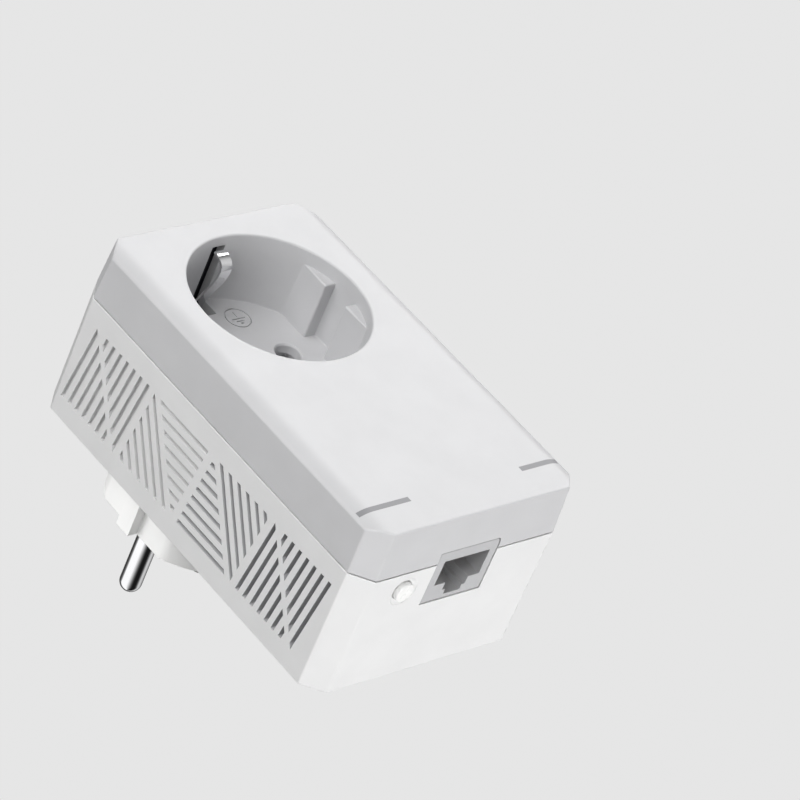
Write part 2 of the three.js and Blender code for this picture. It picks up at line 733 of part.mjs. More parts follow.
// The core's two windows leave a middle leg and two outer ones.
const CORE_WINDOW = { near: 2, far: 5, depth: [2.7, 8.7] };

function powerTransformer() {
  const core = ON_REAR.power_transformer;
  const [low, high] = core.z;
  const middle = (core.x[0] + core.x[1]) / 2;
  const { near, far } = CORE_WINDOW;
  const depth = CORE_WINDOW.depth.map((y) => PCB_REAR + y);
  const windows = bothSides((side) =>
    box([middle + side * near, middle + side * far], depth, [low - 1, high + 1]),
  );
  return cutBy(rearPart(core), windows);
}

// Course of a mains wire from a contact sleeve down to the board, as (x, y, z) on the +X side.
const WIRE_COURSE = [
  [9.5, -30, -4.1],
  [9.6, -30, -10],
  [10.8, -29.6, -18],
  [12, -30, -24],
  [12.2, -31.6, -26.8],
  [12.2, PCB_REAR, -27.4],
];
const WIRE_RADIUS = 0.9;

const mainsWire = (side) => wire(WIRE_COURSE.map(([x, y, z]) => [side * x, y, z]), WIRE_RADIUS, 12, 8);

const VENT_SHEET = { x: [25.35, 25.7], y: [-43.6, -20.4], z: [-61.0, -18.5] };

const ventSheet = (side) => box(VENT_SHEET.x.map((x) => side * x), VENT_SHEET.y, VENT_SHEET.z);

function casingScrew([x, z]) {
  const { head, shank, tip, drive } = SCREW;
  const top = SCREW_SEAT_Y + 2.2;
  const headDisc = rod("y", head, SCREW_SEAT_Y + CLEAR, top, [x, z], 18);
  const rodBelow = rod("y", shank, tip, SCREW_SEAT_Y + 1, [x, z], 12);
  return headDisc.add(rodBelow).subtract(rod("y", drive, SCREW_SEAT_Y + 1, top + 1, [x, z], 6));
}

// ---- the assembly ----

const finish = (color, roughness, metalness = 0) =>
  new THREE.MeshStandardMaterial({ color, roughness, metalness });

const GREY_PLASTIC = [0xd4d4d6, 0.5];
const WHITE_PLASTIC = [0xf1f1f1, 0.45];
const CHROME = [0xdfe0e2, 0.12, 1];
const BRASS = [0xc9a24b, 0.35, 1];
const DARK_RESIN = [0x26272a, 0.6];
const CAPACITOR_SLEEVE = [0x2b3140, 0.45];

const adapter = new THREE.Group();

function add(name, shape, look) {
  const mesh = shape.getMesh();
  const geometry = new THREE.BufferGeometry();
  geometry.setAttribute("position", new THREE.BufferAttribute(mesh.vertProperties, 3));
  geometry.setIndex(new THREE.BufferAttribute(mesh.triVerts, 1));
  geometry.computeVertexNormals();
  const piece = new THREE.Mesh(geometry, finish(...look));
  piece.name = name;
  adapter.add(piece);
}

add("front_cover", frontCover(), GREY_PLASTIC);
add("rear_casing", rearCasing(), WHITE_PLASTIC);
add("plug_body", plugBody(), WHITE_PLASTIC);
add("plug_pin_line", plugPin(-1), CHROME);
add("plug_pin_neutral", plugPin(1), CHROME);
add("plug_earth_strip_upper", plugEarthStrip(1), CHROME);
add("plug_earth_strip_lower", plugEarthStrip(-1), CHROME);
add("plug_earth_sleeve", plugEarthSleeve(), BRASS);
add("socket_shutter", socketShutter(), GREY_PLASTIC);
add("shutter_spring_left", shutterSpring(-1), CHROME);
add("shutter_spring_right", shutterSpring(1), CHROME);
add("shutter_retainer", shutterRetainer(), DARK_RESIN);
add("earth_clip_upper", earthClip(1), CHROME);
add("earth_clip_lower", earthClip(-1), CHROME);
add("earth_bridge", earthBridge(), CHROME);
add("clip_carrier_upper", clipCarrier(1), DARK_RESIN);
add("clip_carrier_lower", clipCarrier(-1), DARK_RESIN);
add("contact_sleeve_line", contactSleeve(-1), BRASS);
add("contact_sleeve_neutral", contactSleeve(1), BRASS);
add("mains_wire_line", mainsWire(-1), [0x6b4226, 0.6]);
add("mains_wire_neutral", mainsWire(1), [0x2c56a8, 0.6]);
add("main_board", mainBoard(), [0x1f5a3a, 0.5]);
add("network_jack", networkJack(), GREY_PLASTIC);
for (let i = 0; i < 8; i++) add(`jack_contact_${i + 1}`, jackContact(i), BRASS);
add("pair_button", pairButton(), WHITE_PLASTIC);
add("tact_switch_body", tactSwitch(), DARK_RESIN);
add("tact_switch_plunger", tactPlunger(), DARK_RESIN);
add("light_pipe", lightPipe(), [0xe8eef0, 0.1]);
LED_HEIGHTS.forEach((z, i) => add(`status_led_${i + 1}`, statusLed(z), [0xf4f1dc, 0.3]));
for (const [name, place] of Object.entries(ON_FRONT)) {
  add(name, frontPart(place), name === "crystal" ? [0xc9cbce, 0.3, 1] : DARK_RESIN);
}
add("heat_sink", heatSink(), [0xb9bcc0, 0.4, 1]);
add("power_transformer", powerTransformer(), [0x3a3632, 0.6]);
add("x_capacitor", rearPart(ON_REAR.x_capacitor), [0xd9c23c, 0.5]);
add("bridge_rectifier", rearPart(ON_REAR.bridge_rectifier), DARK_RESIN);
add("bulk_capacitor", lyingPart(BULK_CAPACITOR), CAPACITOR_SLEEVE);
const { x: canX, z: canZ, radius: canRadius, height: canHeight } = OUTPUT_CAPACITOR;
add("output_capacitor", rod("y", canRadius, PCB_REAR, PCB_REAR + canHeight, [canX, canZ]), CAPACITOR_SLEEVE);
add("common_mode_choke", choke(), [0xa8642a, 0.4]);
add("fuse", lyingPart(FUSE), [0xd9dadb, 0.3]);
add("varistor", lyingPart(VARISTOR), [0x2f6fb5, 0.4]);
add("vent_sheet_left", ventSheet(-1), [0xb4b4b6, 0.7]);
add("vent_sheet_right", ventSheet(1), [0xb4b4b6, 0.7]);
for (const [row, post] of [["upper", UPPER_POSTS], ["lower", LOWER_POSTS]]) {
  add(`casing_screw_${row}_left`, casingScrew([-post[0], post[1]]), [0x8d9094, 0.35, 1]);
  add(`casing_screw_${row}_right`, casingScrew(post), [0x8d9094, 0.35, 1]);
}

export default adapter;
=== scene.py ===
"""The looks of a powerline network adapter with an earthed pass-through socket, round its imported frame.

Shapes are written in millimetres in the part's own frame and scaled to metres once each piece is whole.
X is right seen from the front, +Y points into the wall and +Z is up in use. The socket's axis is X = Z = 0.
"""

import json
import math

import bmesh
import bpy
from mathutils import Euler, Matrix, Vector


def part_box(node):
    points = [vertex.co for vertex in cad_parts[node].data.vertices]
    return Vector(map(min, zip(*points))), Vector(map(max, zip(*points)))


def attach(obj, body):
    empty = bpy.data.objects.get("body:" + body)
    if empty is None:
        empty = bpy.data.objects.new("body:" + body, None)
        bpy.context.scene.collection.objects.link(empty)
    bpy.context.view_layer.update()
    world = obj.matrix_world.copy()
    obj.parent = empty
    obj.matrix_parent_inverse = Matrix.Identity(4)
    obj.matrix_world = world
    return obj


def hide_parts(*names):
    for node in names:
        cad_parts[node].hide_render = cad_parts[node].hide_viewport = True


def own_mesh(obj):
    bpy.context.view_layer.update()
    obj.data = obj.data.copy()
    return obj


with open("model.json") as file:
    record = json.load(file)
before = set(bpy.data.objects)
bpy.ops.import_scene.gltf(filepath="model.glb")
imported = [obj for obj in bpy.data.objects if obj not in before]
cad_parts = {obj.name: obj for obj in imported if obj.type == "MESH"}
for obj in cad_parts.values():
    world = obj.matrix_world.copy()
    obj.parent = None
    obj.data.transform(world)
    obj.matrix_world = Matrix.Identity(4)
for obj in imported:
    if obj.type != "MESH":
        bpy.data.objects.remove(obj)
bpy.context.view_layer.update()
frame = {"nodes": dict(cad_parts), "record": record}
MM = 0.001


def span(node):
    """Lowest and highest corner of a CAD node in millimetres."""
    low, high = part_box(node)
    return low / MM, high / MM


# ---- sizes, from the frame and a few driving dimensions ----

COVER_LOW, COVER_HIGH = span("front_cover")
CASING_LOW, CASING_HIGH = span("rear_casing")
HALF_WIDTH = COVER_HIGH.x
BODY_TOP = COVER_HIGH.z
BODY_BOTTOM = COVER_LOW.z
BODY_MIDDLE = (BODY_TOP + BODY_BOTTOM) / 2
HALF_HEIGHT = (BODY_TOP - BODY_BOTTOM) / 2
FRONT_Y = COVER_LOW.y
CASING_FRONT = CASING_LOW.y
BACK_Y = CASING_HIGH.y
WALL = 2.0
FIT = 0.15  # gap round a part that fills a hole
CLEAR = 0.3  # gap between parts that rest on each other

SEAM_GAP = 0.3
COVER_BACK = CASING_FRONT - SEAM_GAP
LIP_REACH = 1.65  # of the cover's inner lip past the casing's edge
LIP_END = CASING_FRONT + LIP_REACH
LIP_OUTER = WALL + CLEAR
LIP_INNER = LIP_OUTER + 1.0
CORNER_CHAMFER = 4.1
FRONT_DRAW = (0.4, 0.6)  # how far the cover's front is drawn in, across and up
STRIP_DROP = 1.1  # of the curved strip beside each long edge of the front
CORNER_ROUND = 0.8
CHAMFER_STEPS = 5
COVER_RIM = 0.4
CASING_RIM = 0.3
COVER_SEAM = 0.14
CASING_SEAM = 0.14

SOCKET_RADIUS = 19.4
SOCKET_WALL = 1.8
SOCKET_DEPTH = 16.8
FLOOR_THICKNESS = 2.2
FLOOR_Y = FRONT_Y + SOCKET_DEPTH
FLOOR_BACK = FLOOR_Y + FLOOR_THICKNESS
RIM_FILLET = 0.4
SOCKET_ROUND = 144  # segments of the socket's large circles
GUIDE_X = 16.3
GUIDE_Z = (3.2, 14)
GUIDE_START = 3.3
CLIP_SLOT_HALF_WIDTH = 1.7
CLIP_SLOT_START = 2.5
CLIP_SLOT_INNER = 14.8
CARRIER_HALF_WIDTH = 3.3
PIN_LOW, PIN_HIGH = span("plug_pin_neutral")
PIN_X = (PIN_LOW.x + PIN_HIGH.x) / 2
PIN_RADIUS = (PIN_HIGH.x - PIN_LOW.x) / 2
PIN_HOLE_RADIUS = 2.8

PLUG_RADIUS = 18.6
PLUG_FLAT = 16.1
PLUG_RIB = 4.05

UPPER_POST = (20.6, 19.6)
LOWER_POST = (21.4, -60.4)
SCREW_SEAT_Y = -30.0
POST_END_Y = -38.0
POST_RADIUS = 3.6
BOSS_RADIUS = 3.1
SHANK_HOLE = 1.8
HEAD_HOLE = 2.6
THREAD_END_Y = -51
BOARD_REST = (21, -29)
BOARD_REST_RADIUS = 1.8
BOARD_FRONT_Y = -35.9

JACK_LOW, JACK_HIGH = span("network_jack")
PORT_X = (JACK_LOW.x + JACK_HIGH.x) / 2
PORT_WINDOW_END = -42  # the jack's hole in the cover reaches this far up
BUTTON_LOW, BUTTON_HIGH = span("pair_button")
BUTTON_AT = ((BUTTON_LOW.x + BUTTON_HIGH.x) / 2, (BUTTON_LOW.y + BUTTON_HIGH.y) / 2)
BUTTON_RADIUS = 2.2
LIGHT_HEIGHTS = (-35.0, -40.0, -45.0)
LIGHT_Y = -51.5
LIGHT_HOLE_RADIUS = 1.05


# ---- mesh building ----

SHARP_ANGLE = 38  # degrees past which an edge shows as an edge


def shell_of(rings, close_ends=True):
    """A closed mesh through rings of points; a ring of one point is a tip."""
    bm = bmesh.new()
    made = [[bm.verts.new(p) for p in ring] for ring in rings]
    for a, b in zip(made, made[1:]):
        count = max(len(a), len(b))
        for i in range(count):
            j = (i + 1) % count
            corners = [a[i % len(a)], a[j % len(a)], b[j % len(b)], b[i % len(b)]]
            bm.faces.new(list(dict.fromkeys(corners)))
    if close_ends:
        for ring in (made[0], made[-1]):
            if len(ring) > 2:
                bm.faces.new(ring)
    bmesh.ops.recalc_face_normals(bm, faces=bm.faces)
    return bm


def set_along(axis, a, b, t):
    """The point with in-plane coordinates a, b and position t along the axis."""
    return {"x": (t, a, b), "y": (a, t, b), "z": (a, b, t)}[axis]


def prism(outline, axis, start, end):
    return shell_of([[set_along(axis, a, b, t) for a, b in outline] for t in (start, end)])


def block(xs, ys, zs):
    outline = [(xs[0], zs[0]), (xs[1], zs[0]), (xs[1], zs[1]), (xs[0], zs[1])]
    return prism(outline, "y", ys[0], ys[1])


def turned(profile, axis, centre, segments=64):
    """A profile of (radius, position along the axis) points turned about a line through centre."""
    rings = []
    for radius, t in profile:
        if radius < 1e-6:
            rings.append([set_along(axis, centre[0], centre[1], t)])
            continue
        ring = []
        for i in range(segments):
            angle = 2 * math.pi * i / segments
            a = centre[0] + radius * math.cos(angle)
            b = centre[1] + radius * math.sin(angle)
            ring.append(set_along(axis, a, b, t))
        rings.append(ring)
    return shell_of(rings)


def washer(outer, inner, axis, start, end, centre, segments=64):
    """A flat ring of square section."""
    rings = []
    for radius, t in ((outer, start), (outer, end), (inner, end), (inner, start), (outer, start)):
        turn = [2 * math.pi * i / segments for i in range(segments)]
        ring = [(centre[0] + radius * math.cos(w), centre[1] + radius * math.sin(w)) for w in turn]
        rings.append([set_along(axis, a, b, t) for a, b in ring])
    bm = shell_of(rings, close_ends=False)
    bmesh.ops.remove_doubles(bm, verts=bm.verts, dist=1e-5)
    bmesh.ops.recalc_face_normals(bm, faces=bm.faces)
    return bm


def rod(axis, radius, start, end, centre, segments=32):
    return turned([(0, start), (radius, start), (radius, end), (0, end)], axis, centre, segments)


def arc(centre, radius, start, end, steps):
    """Points of a circular arc, angles in degrees."""
    points = []
    for i in range(steps + 1):
        angle = math.radians(start + (end - start) * i / steps)
        points.append((centre[0] + radius * math.cos(angle), centre[1] + radius * math.sin(angle)))
    return points


def rounded(bm, radius, segments=3, least_angle=25, where=None):
    """Rounds the mesh's edges that turn by at least least_angle degrees."""
    chosen = []
    for edge in bm.edges:
        turns = len(edge.link_faces) == 2 and edge.calc_face_angle(0) > math.radians(least_angle)
        if turns and (where is None or where(edge)):
            chosen.append(edge)
    bmesh.ops.bevel(
        bm, geom=chosen, offset=radius, offset_type="OFFSET", segments=segments, profile=0.5,
        affect="EDGES", clamp_overlap=True,
    )
    return bm


def together(meshes):
    """One mesh that holds several."""
    whole = bmesh.new()
    for bm in meshes:
        data = bpy.data.meshes.new("part")
        bm.to_mesh(data)
        bm.free()
        whole.from_mesh(data)
        bpy.data.meshes.remove(data)
    return whole


def as_object(bm, name="tool"):
    data = bpy.data.meshes.new(name)
    bm.to_mesh(data)
    bm.free()
    made = bpy.data.objects.new(name, data)
    bpy.context.scene.collection.objects.link(made)
    return made


def apply_modifiers(obj):
    bpy.context.view_layer.update()
    graph = bpy.context.evaluated_depsgraph_get()
    made = bpy.data.meshes.new_from_object(obj.evaluated_get(graph))
    obj.modifiers.clear()
    old = obj.data
    obj.data = made
    bpy.data.meshes.remove(old)


def combine(obj, operation, *meshes):
    """Adds the meshes to obj (UNION), cuts them away (DIFFERENCE) or keeps what they share (INTERSECT)."""
    tool = as_object(together(meshes))
    modifier = obj.modifiers.new("combine", "BOOLEAN")
    modifier.operation = operation
    modifier.solver = "EXACT"
    modifier.object = tool
    apply_modifiers(obj)
    bpy.data.objects.remove(tool)
    return obj


def tidy_mesh(obj):
    """Merges doubled points, drops collapsed edges and turns every face outwards."""
    bm = bmesh.new()
    bm.from_mesh(obj.data)
    bmesh.ops.remove_doubles(bm, verts=bm.verts, dist=1e-4)
    bmesh.ops.dissolve_degenerate(bm, edges=bm.edges, dist=1e-4)
    bmesh.ops.recalc_face_normals(bm, faces=bm.faces)
    bm.to_mesh(obj.data)
    bm.free()


def finish_piece(obj, name, slot, body, node):
    """Scales a piece to metres, shades it with its slot's look, and ties it to its body and CAD node."""
    tidy_mesh(obj)
    obj.name = name
    obj.data.name = name
    obj.data.transform(Matrix.Scale(MM, 4))
    obj.data.shade_smooth()
    obj.data.set_sharp_from_angle(angle=math.radians(SHARP_ANGLE))
    if not obj.data.materials:
        obj.data.materials.append(LOOKS[slot])
    weighted = obj.modifiers.new("even shading", "WEIGHTED_NORMAL")
    weighted.keep_sharp = True
    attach(obj, body)
    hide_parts(node)


def smooth_line(points, steps):
    """A Catmull-Rom curve through 2-D points, with the given steps between neighbours."""
    ends = [
        tuple(2 * a - b for a, b in zip(points[0], points[1])),
        *points,
        tuple(2 * a - b for a, b in zip(points[-1], points[-2])),
    ]
    line = []
    for p0, p1, p2, p3 in zip(ends, ends[1:], ends[2:], ends[3:]):
        for i in range(steps):
            t = i / steps
            at = []
            for a, b, c, d in zip(p0, p1, p2, p3):
                square = (2 * a - 5 * b + 4 * c - d) * t * t
                cube = (3 * b - a - 3 * c + d) * t**3
                at.append(0.5 * (2 * b + (c - a) * t + square + cube))
            line.append(tuple(at))
    line.append(tuple(points[-1]))
    return line


def bent_strip(line, thickness, xs, radius):
    """A strip of sheet metal that follows a (y, z) line, carried across X, with its long edges rounded."""
    left, right = [], []
    for i, (y, z) in enumerate(line):
        before = line[max(i - 1, 0)]
        after = line[min(i + 1, len(line) - 1)]
        length = math.hypot(after[0] - before[0], after[1] - before[1])
        normal = (-(after[1] - before[1]) / length, (after[0] - before[0]) / length)
        left.append((y + normal[0] * thickness / 2, z + normal[1] * thickness / 2))
        right.append((y - normal[0] * thickness / 2, z - normal[1] * thickness / 2))
    rings = []
    for (ya, za), (yb, zb) in zip(left, right):
        rings.append([(xs[0], ya, za), (xs[1], ya, za), (xs[1], yb, zb), (xs[0], yb, zb)])
    return rounded(shell_of(rings), radius, segments=2, least_angle=50)


def tube(points, radius, sides=12):
    """A round wire through 3-D points."""
    rings = []
    across = None
    for i, point in enumerate(points):
        before = Vector(points[max(i - 1, 0)])
        after = Vector(points[min(i + 1, len(points) - 1)])
        ahead = (after - before).normalized()
        if across is None:
            across = ahead.orthogonal()
        across = (across - ahead * across.dot(ahead)).normalized()
        other = ahead.cross(across)
        ring = []
        for k in range(sides):
            angle = 2 * math.pi * k / sides
            ring.append(Vector(point) + radius * (math.cos(angle) * across + math.sin(angle) * other))
        rings.append(ring)
    return shell_of(rings)


# ---- materials ----


class Look:
    """A node material under construction."""

    def __init__(self, name, **constants):
        self.material = bpy.data.materials.new(name)
        self.material.use_nodes = True
        self.nodes = self.material.node_tree.nodes
        self.links = self.material.node_tree.links
        self.shader = self.nodes["Principled BSDF"]
        for socket, value in constants.items():
            self.shader.inputs[socket.replace("_", " ")].default_value = value
        self.place = self.nodes.new("ShaderNodeTexCoord").outputs["Object"]

    def noise(self, size_mm, detail=2.0, stretch=(1, 1, 1)):
        """Noise with features of the given size."""
        mapping = self.nodes.new("ShaderNodeMapping")
        mapping.inputs["Scale"].default_value = stretch
        self.links.new(self.place, mapping.inputs["Vector"])
        texture = self.nodes.new("ShaderNodeTexNoise")
        texture.inputs["Scale"].default_value = 1 / (size_mm * MM)
        texture.inputs["Detail"].default_value = detail
        self.links.new(mapping.outputs["Vector"], texture.inputs["Vector"])
        return texture.outputs["Fac"]

    def ranged(self, value, low, high):
        """The value's middle range carried to low and high."""
        fit = self.nodes.new("ShaderNodeMapRange")
        fit.inputs["From Min"].default_value = 0.3
        fit.inputs["From Max"].default_value = 0.7
        fit.inputs["To Min"].default_value = low
        fit.inputs["To Max"].default_value = high
        self.links.new(value, fit.inputs["Value"])
        return fit.outputs["Result"]

    def mixed(self, factor, low, high):
        mix = self.nodes.new("ShaderNodeMix")
        mix.data_type = "RGBA"
        mix.inputs["A"].default_value = (*low, 1)
        mix.inputs["B"].default_value = (*high, 1)
        self.links.new(factor, mix.inputs["Factor"])
        return mix.outputs["Result"]

    def colour(self, source):
        self.links.new(source, self.shader.inputs["Base Color"])

    def roughness(self, source):
        self.links.new(source, self.shader.inputs["Roughness"])

    def bumps(self, *layers):
        """Layers of (height source, height in millimetres)."""
        normal = None
        for source, height in layers:
            bump = self.nodes.new("ShaderNodeBump")
            bump.inputs["Strength"].default_value = 1.0
            bump.inputs["Distance"].default_value = height * MM
            self.links.new(source, bump.inputs["Height"])
            if normal is not None:
                self.links.new(normal, bump.inputs["Normal"])
            normal = bump.outputs["Normal"]
        self.links.new(normal, self.shader.inputs["Normal"])


def shades(colour, spread):
    return [tuple(min(c * k, 1) for c in colour) for k in (1 - spread, 1 + spread)]


def moulded(name, colour, roughness, grain=0.35, height=0.004, spread=0.02, **constants):
    """Moulded plastic with a fine spark-eroded grain."""
    look = Look(name, IOR=1.5, **constants)
    look.colour(look.mixed(look.ranged(look.noise(9, 3), 0, 1), *shades(colour, spread)))
    look.roughness(look.ranged(look.noise(grain * 2.5, 3), roughness - 0.05, roughness + 0.05))
    look.bumps((look.noise(grain, 2), height), (look.noise(14, 1), height * 3))
    return look.material


def plated(name, colour, roughness, stretch=(1, 1, 1), height=0.0015, size=0.5):
    """Metal with fine drawn scratches along one axis."""
    look = Look(name, Metallic=1.0)
    look.colour(look.mixed(look.ranged(look.noise(4, 3), 0, 1), *shades(colour, 0.03)))
    look.roughness(look.ranged(look.noise(size, 4, stretch), roughness * 0.7, roughness * 1.4))
    look.bumps((look.noise(size, 3, stretch), height))
    return look.material


TRACK_PITCH = 2.2


def board_green(name, colour):
    """Solder mask over a net of straight tracks."""
    look = Look(name, Roughness=0.35)
    cells = look.nodes.new("ShaderNodeTexVoronoi")
    cells.distance = "CHEBYCHEV"
    cells.feature = "F1"
    cells.inputs["Scale"].default_value = 1 / (TRACK_PITCH * MM)
    look.links.new(look.place, cells.inputs["Vector"])
    tracks = look.ranged(cells.outputs["Distance"], 0, 1)
    look.colour(look.mixed(tracks, colour, tuple(c * 1.8 + 0.01 for c in colour)))
    look.bumps((cells.outputs["Distance"], 0.03), (look.noise(0.6), 0.01))
    return look.material


WAVE_TURN = 6.28  # with this the wave texture's bands come about two pitches apart


def wound(name, colour, pitch):
    """Close turns of enamelled wire."""
    look = Look(name, Metallic=0.6, Roughness=0.3)
    wave = look.nodes.new("ShaderNodeTexWave")
    wave.inputs["Scale"].default_value = 1 / (pitch * MM) / WAVE_TURN
    look.links.new(look.place, wave.inputs["Vector"])
    look.colour(look.mixed(wave.outputs["Fac"], *shades(colour, 0.35)))
    look.bumps((wave.outputs["Fac"], 0.1))
    return look.material


def clear(name, colour):
    look = Look(name, IOR=1.49)
    look.shader.inputs["Transmission Weight"].default_value = 0.9
    look.colour(look.mixed(look.ranged(look.noise(5), 0, 1), *shades(colour, 0.02)))
    look.roughness(look.ranged(look.noise(1.5, 3), 0.04, 0.12))
    look.bumps((look.noise(2.5), 0.004))
    return look.material


LOOKS = {
    "cover_plastic": moulded("cover_plastic", (0.57, 0.57, 0.58), 0.42),
    "casing_plastic": moulded("casing_plastic", (0.77, 0.77, 0.77), 0.36, height=0.003),
    "plug_plastic": moulded("plug_plastic", (0.93, 0.93, 0.92), 0.34, height=0.003),
    "port_plastic": moulded("port_plastic", (0.48, 0.48, 0.49), 0.4, height=0.003),
    "button_plastic": moulded("button_plastic", (0.88, 0.88, 0.87), 0.28, grain=0.6, height=0.002),
    "plated_contact": plated("plated_contact", (0.80, 0.80, 0.81), 0.09, (1, 0.05, 1)),
    "spring_steel": plated("spring_steel", (0.62, 0.62, 0.63), 0.25, (1, 1, 0.1)),
    "brass_contact": plated("brass_contact", (0.78, 0.60, 0.26), 0.25, (1, 0.1, 1)),
    "wire_brown": moulded("wire_brown", (0.20, 0.09, 0.04), 0.5, grain=0.8, spread=0.1),
    "wire_blue": moulded("wire_blue", (0.04, 0.13, 0.42), 0.5, grain=0.8, spread=0.1),
    "circuit_board": board_green("circuit_board", (0.03, 0.14, 0.07)),
    "black_resin": moulded("black_resin", (0.03, 0.03, 0.035), 0.55, grain=0.25, height=0.01, spread=0.15),
    "clear_light_pipe": clear("clear_light_pipe", (0.90, 0.93, 0.95)),
    "led_lens": moulded("led_lens", (0.85, 0.82, 0.62), 0.25, grain=0.5, spread=0.05),
    "heat_sink_metal": plated("heat_sink_metal", (0.60, 0.61, 0.62), 0.4, (1, 1, 0.04), 0.01, 0.4),
    "crystal_can": plated("crystal_can", (0.60, 0.61, 0.62), 0.28, (0.1, 1, 1)),
    "transformer_core": moulded(
        "transformer_core", (0.05, 0.045, 0.04), 0.6, grain=0.5, height=0.02, spread=0.2
    ),
    "capacitor_sleeve": moulded("capacitor_sleeve", (0.03, 0.04, 0.08), 0.3, grain=1.2, spread=0.1),
    "film_capacitor": moulded("film_capacitor", (0.70, 0.55, 0.06), 0.35, grain=0.6, spread=0.05),
    "copper_winding": wound("copper_winding", (0.42, 0.16, 0.05), 0.7),
    "fuse_ceramic": moulded("fuse_ceramic", (0.70, 0.70, 0.70), 0.25, grain=0.5, spread=0.03),
    "varistor_coating": moulded(
        "varistor_coating", (0.03, 0.17, 0.45), 0.35, grain=1.5, height=0.02, spread=0.1
    ),
    "vent_sheet": moulded("vent_sheet", (0.40, 0.40, 0.41), 0.75, grain=0.3, height=0.01, spread=0.06),
    "screw_steel": plated("screw_steel", (0.35, 0.35, 0.36), 0.3, (1, 1, 1), 0.004),
}
# Darker copies of the casing plastic that paint shade into the vents: the first into the through slots'
# walls, the second into the grooves above them.
SLOT_PAINTED_SHADE = moulded("slot_painted_shade", (0.56, 0.56, 0.57), 0.5, height=0.003)
GROOVE_PAINTED_SHADE = moulded("groove_painted_shade", (0.70, 0.70, 0.70), 0.45, height=0.003)
PRINTED = moulded("printed_line", (0.25, 0.25, 0.26), 0.5, grain=0.2, height=0.003, spread=0.04)


# ---- body shells ----


def body_outline(margin, draw=(0, 0)):
    """The body's octagon as (x, z) points, drawn in by draw across and up."""
    x = HALF_WIDTH - margin
    z = HALF_HEIGHT - margin
    cut = CORNER_CHAMFER - margin * (2 - math.sqrt(2))
    corners = [
        (x - cut, -z), (x, cut - z), (x, z - cut), (x - cut, z),
        (cut - x, z), (-x, z - cut), (-x, cut - z), (cut - x, -z),
    ]
    return [
        (a - math.copysign(draw[0], a), b - math.copysign(draw[1], b) + BODY_MIDDLE) for a, b in corners
    ]


def soft_quarter(margin, draw):
    """The outside outline's quarter from the top edge to the right side, its corners rounded."""
    x = HALF_WIDTH - margin - draw[0]
    z = HALF_HEIGHT - margin - draw[1]
    cut = CORNER_CHAMFER - margin * (2 - math.sqrt(2))
    radius = CORNER_ROUND - margin
    run = radius * math.tan(math.radians(22.5))
    top = arc((x - cut - run, z - radius), radius, 90, 45, 3)
    side = arc((x - radius, z - cut - run), radius, 45, 0, 3)
    (x0, z0), (x1, z1) = top[-1], side[0]
    between = []
    for i in range(1, CHAMFER_STEPS):
        t = i / CHAMFER_STEPS
        between.append((x0 + (x1 - x0) * t, z0 + (z1 - z0) * t))
    return top + between + side


def soft_outline(margin, draw=(0, 0)):
    """The outside outline as (x, z) points, from the middle of the top edge round by the right side."""
    quarter = soft_quarter(margin, draw)
    ring = quarter + [(a, -b) for a, b in reversed(quarter)]
    ring += [(-a, -b) for a, b in ring]
    return [(a, b + BODY_MIDDLE) for a, b in ring]


def round_steps(radius, count):
    """A rounded edge as (distance in, distance back from the face), from the side to the face."""
    turns = [math.pi / 2 * i / count for i in range(count + 1)]
    return [(radius * (1 - math.cos(w)), radius * (1 - math.sin(w))) for w in turns]


def strip_drop(x):
    """How far the front face has fallen away at x, along the curved strip beside each long edge."""
    across = abs(x) - (HALF_WIDTH - FRONT_DRAW[0] - CORNER_CHAMFER)
    return STRIP_DROP * max(across / CORNER_CHAMFER, 0) ** 2


def cover_block():
    """The front cover's outer block, drawn in at the front, with a curved strip along each long edge."""
    rings = []
    for inward, back in reversed(round_steps(COVER_SEAM, 2)):
        rings.append([(x, COVER_BACK - back, z) for x, z in soft_outline(inward)])
    for inward, back in round_steps(COVER_RIM, 5):
        outline = soft_outline(inward, FRONT_DRAW)
        rings.append([(x, FRONT_Y + strip_drop(x) + back, z) for x, z in outline])
    bm = shell_of(rings, close_ends=False)
    bm.verts.ensure_lookup_table()
    count = len(rings[0])
    bm.faces.new(bm.verts[:count])
    front = bm.verts[-count:]
    half = count // 2
    first, last = 3, 3 + CHAMFER_STEPS  # the straight part of the chamfer
    for start in (0, half):
        for i in range(first, last):
            ring = (start + i, start + i + 1, start + half - 2 - i, start + half - 1 - i)
            bm.faces.new([front[k % count] for k in ring])
        bm.faces.new([front[start + k] for k in range(last, half - last)])
    middle = [*range(count - 1 - first, count), *range(first + 1), *range(half - 1 - first, half + first + 1)]
    bm.faces.new([front[k] for k in middle])
    bmesh.ops.recalc_face_normals(bm, faces=bm.faces)
    return bm


def casing_block():
    rings = []
    for inward, back in reversed(round_steps(CASING_SEAM, 3)):
        rings.append([(x, CASING_FRONT + back, z) for x, z in soft_outline(inward)])
    for inward, back in round_steps(CASING_RIM, 4):
        rings.append([(x, BACK_Y - back, z) for x, z in soft_outline(inward)])
    return shell_of(rings)


def ring_wall(outer, inner, start, end):
    """A wall that follows the body's outline."""
    wall = as_object(prism(body_outline(outer), "y", start, end))
    return combine(wall, "DIFFERENCE", prism(body_outline(inner), "y", start - 1, end + 1))


def mesh_of(obj):
    """The object's mesh, with the object used up."""
    bm = bmesh.new()
    bm.from_mesh(obj.data)
    bpy.data.objects.remove(obj)
    return bm


def screw_places():
    return [(side * x, z) for x, z in (UPPER_POST, LOWER_POST) for side in (-1, 1)]


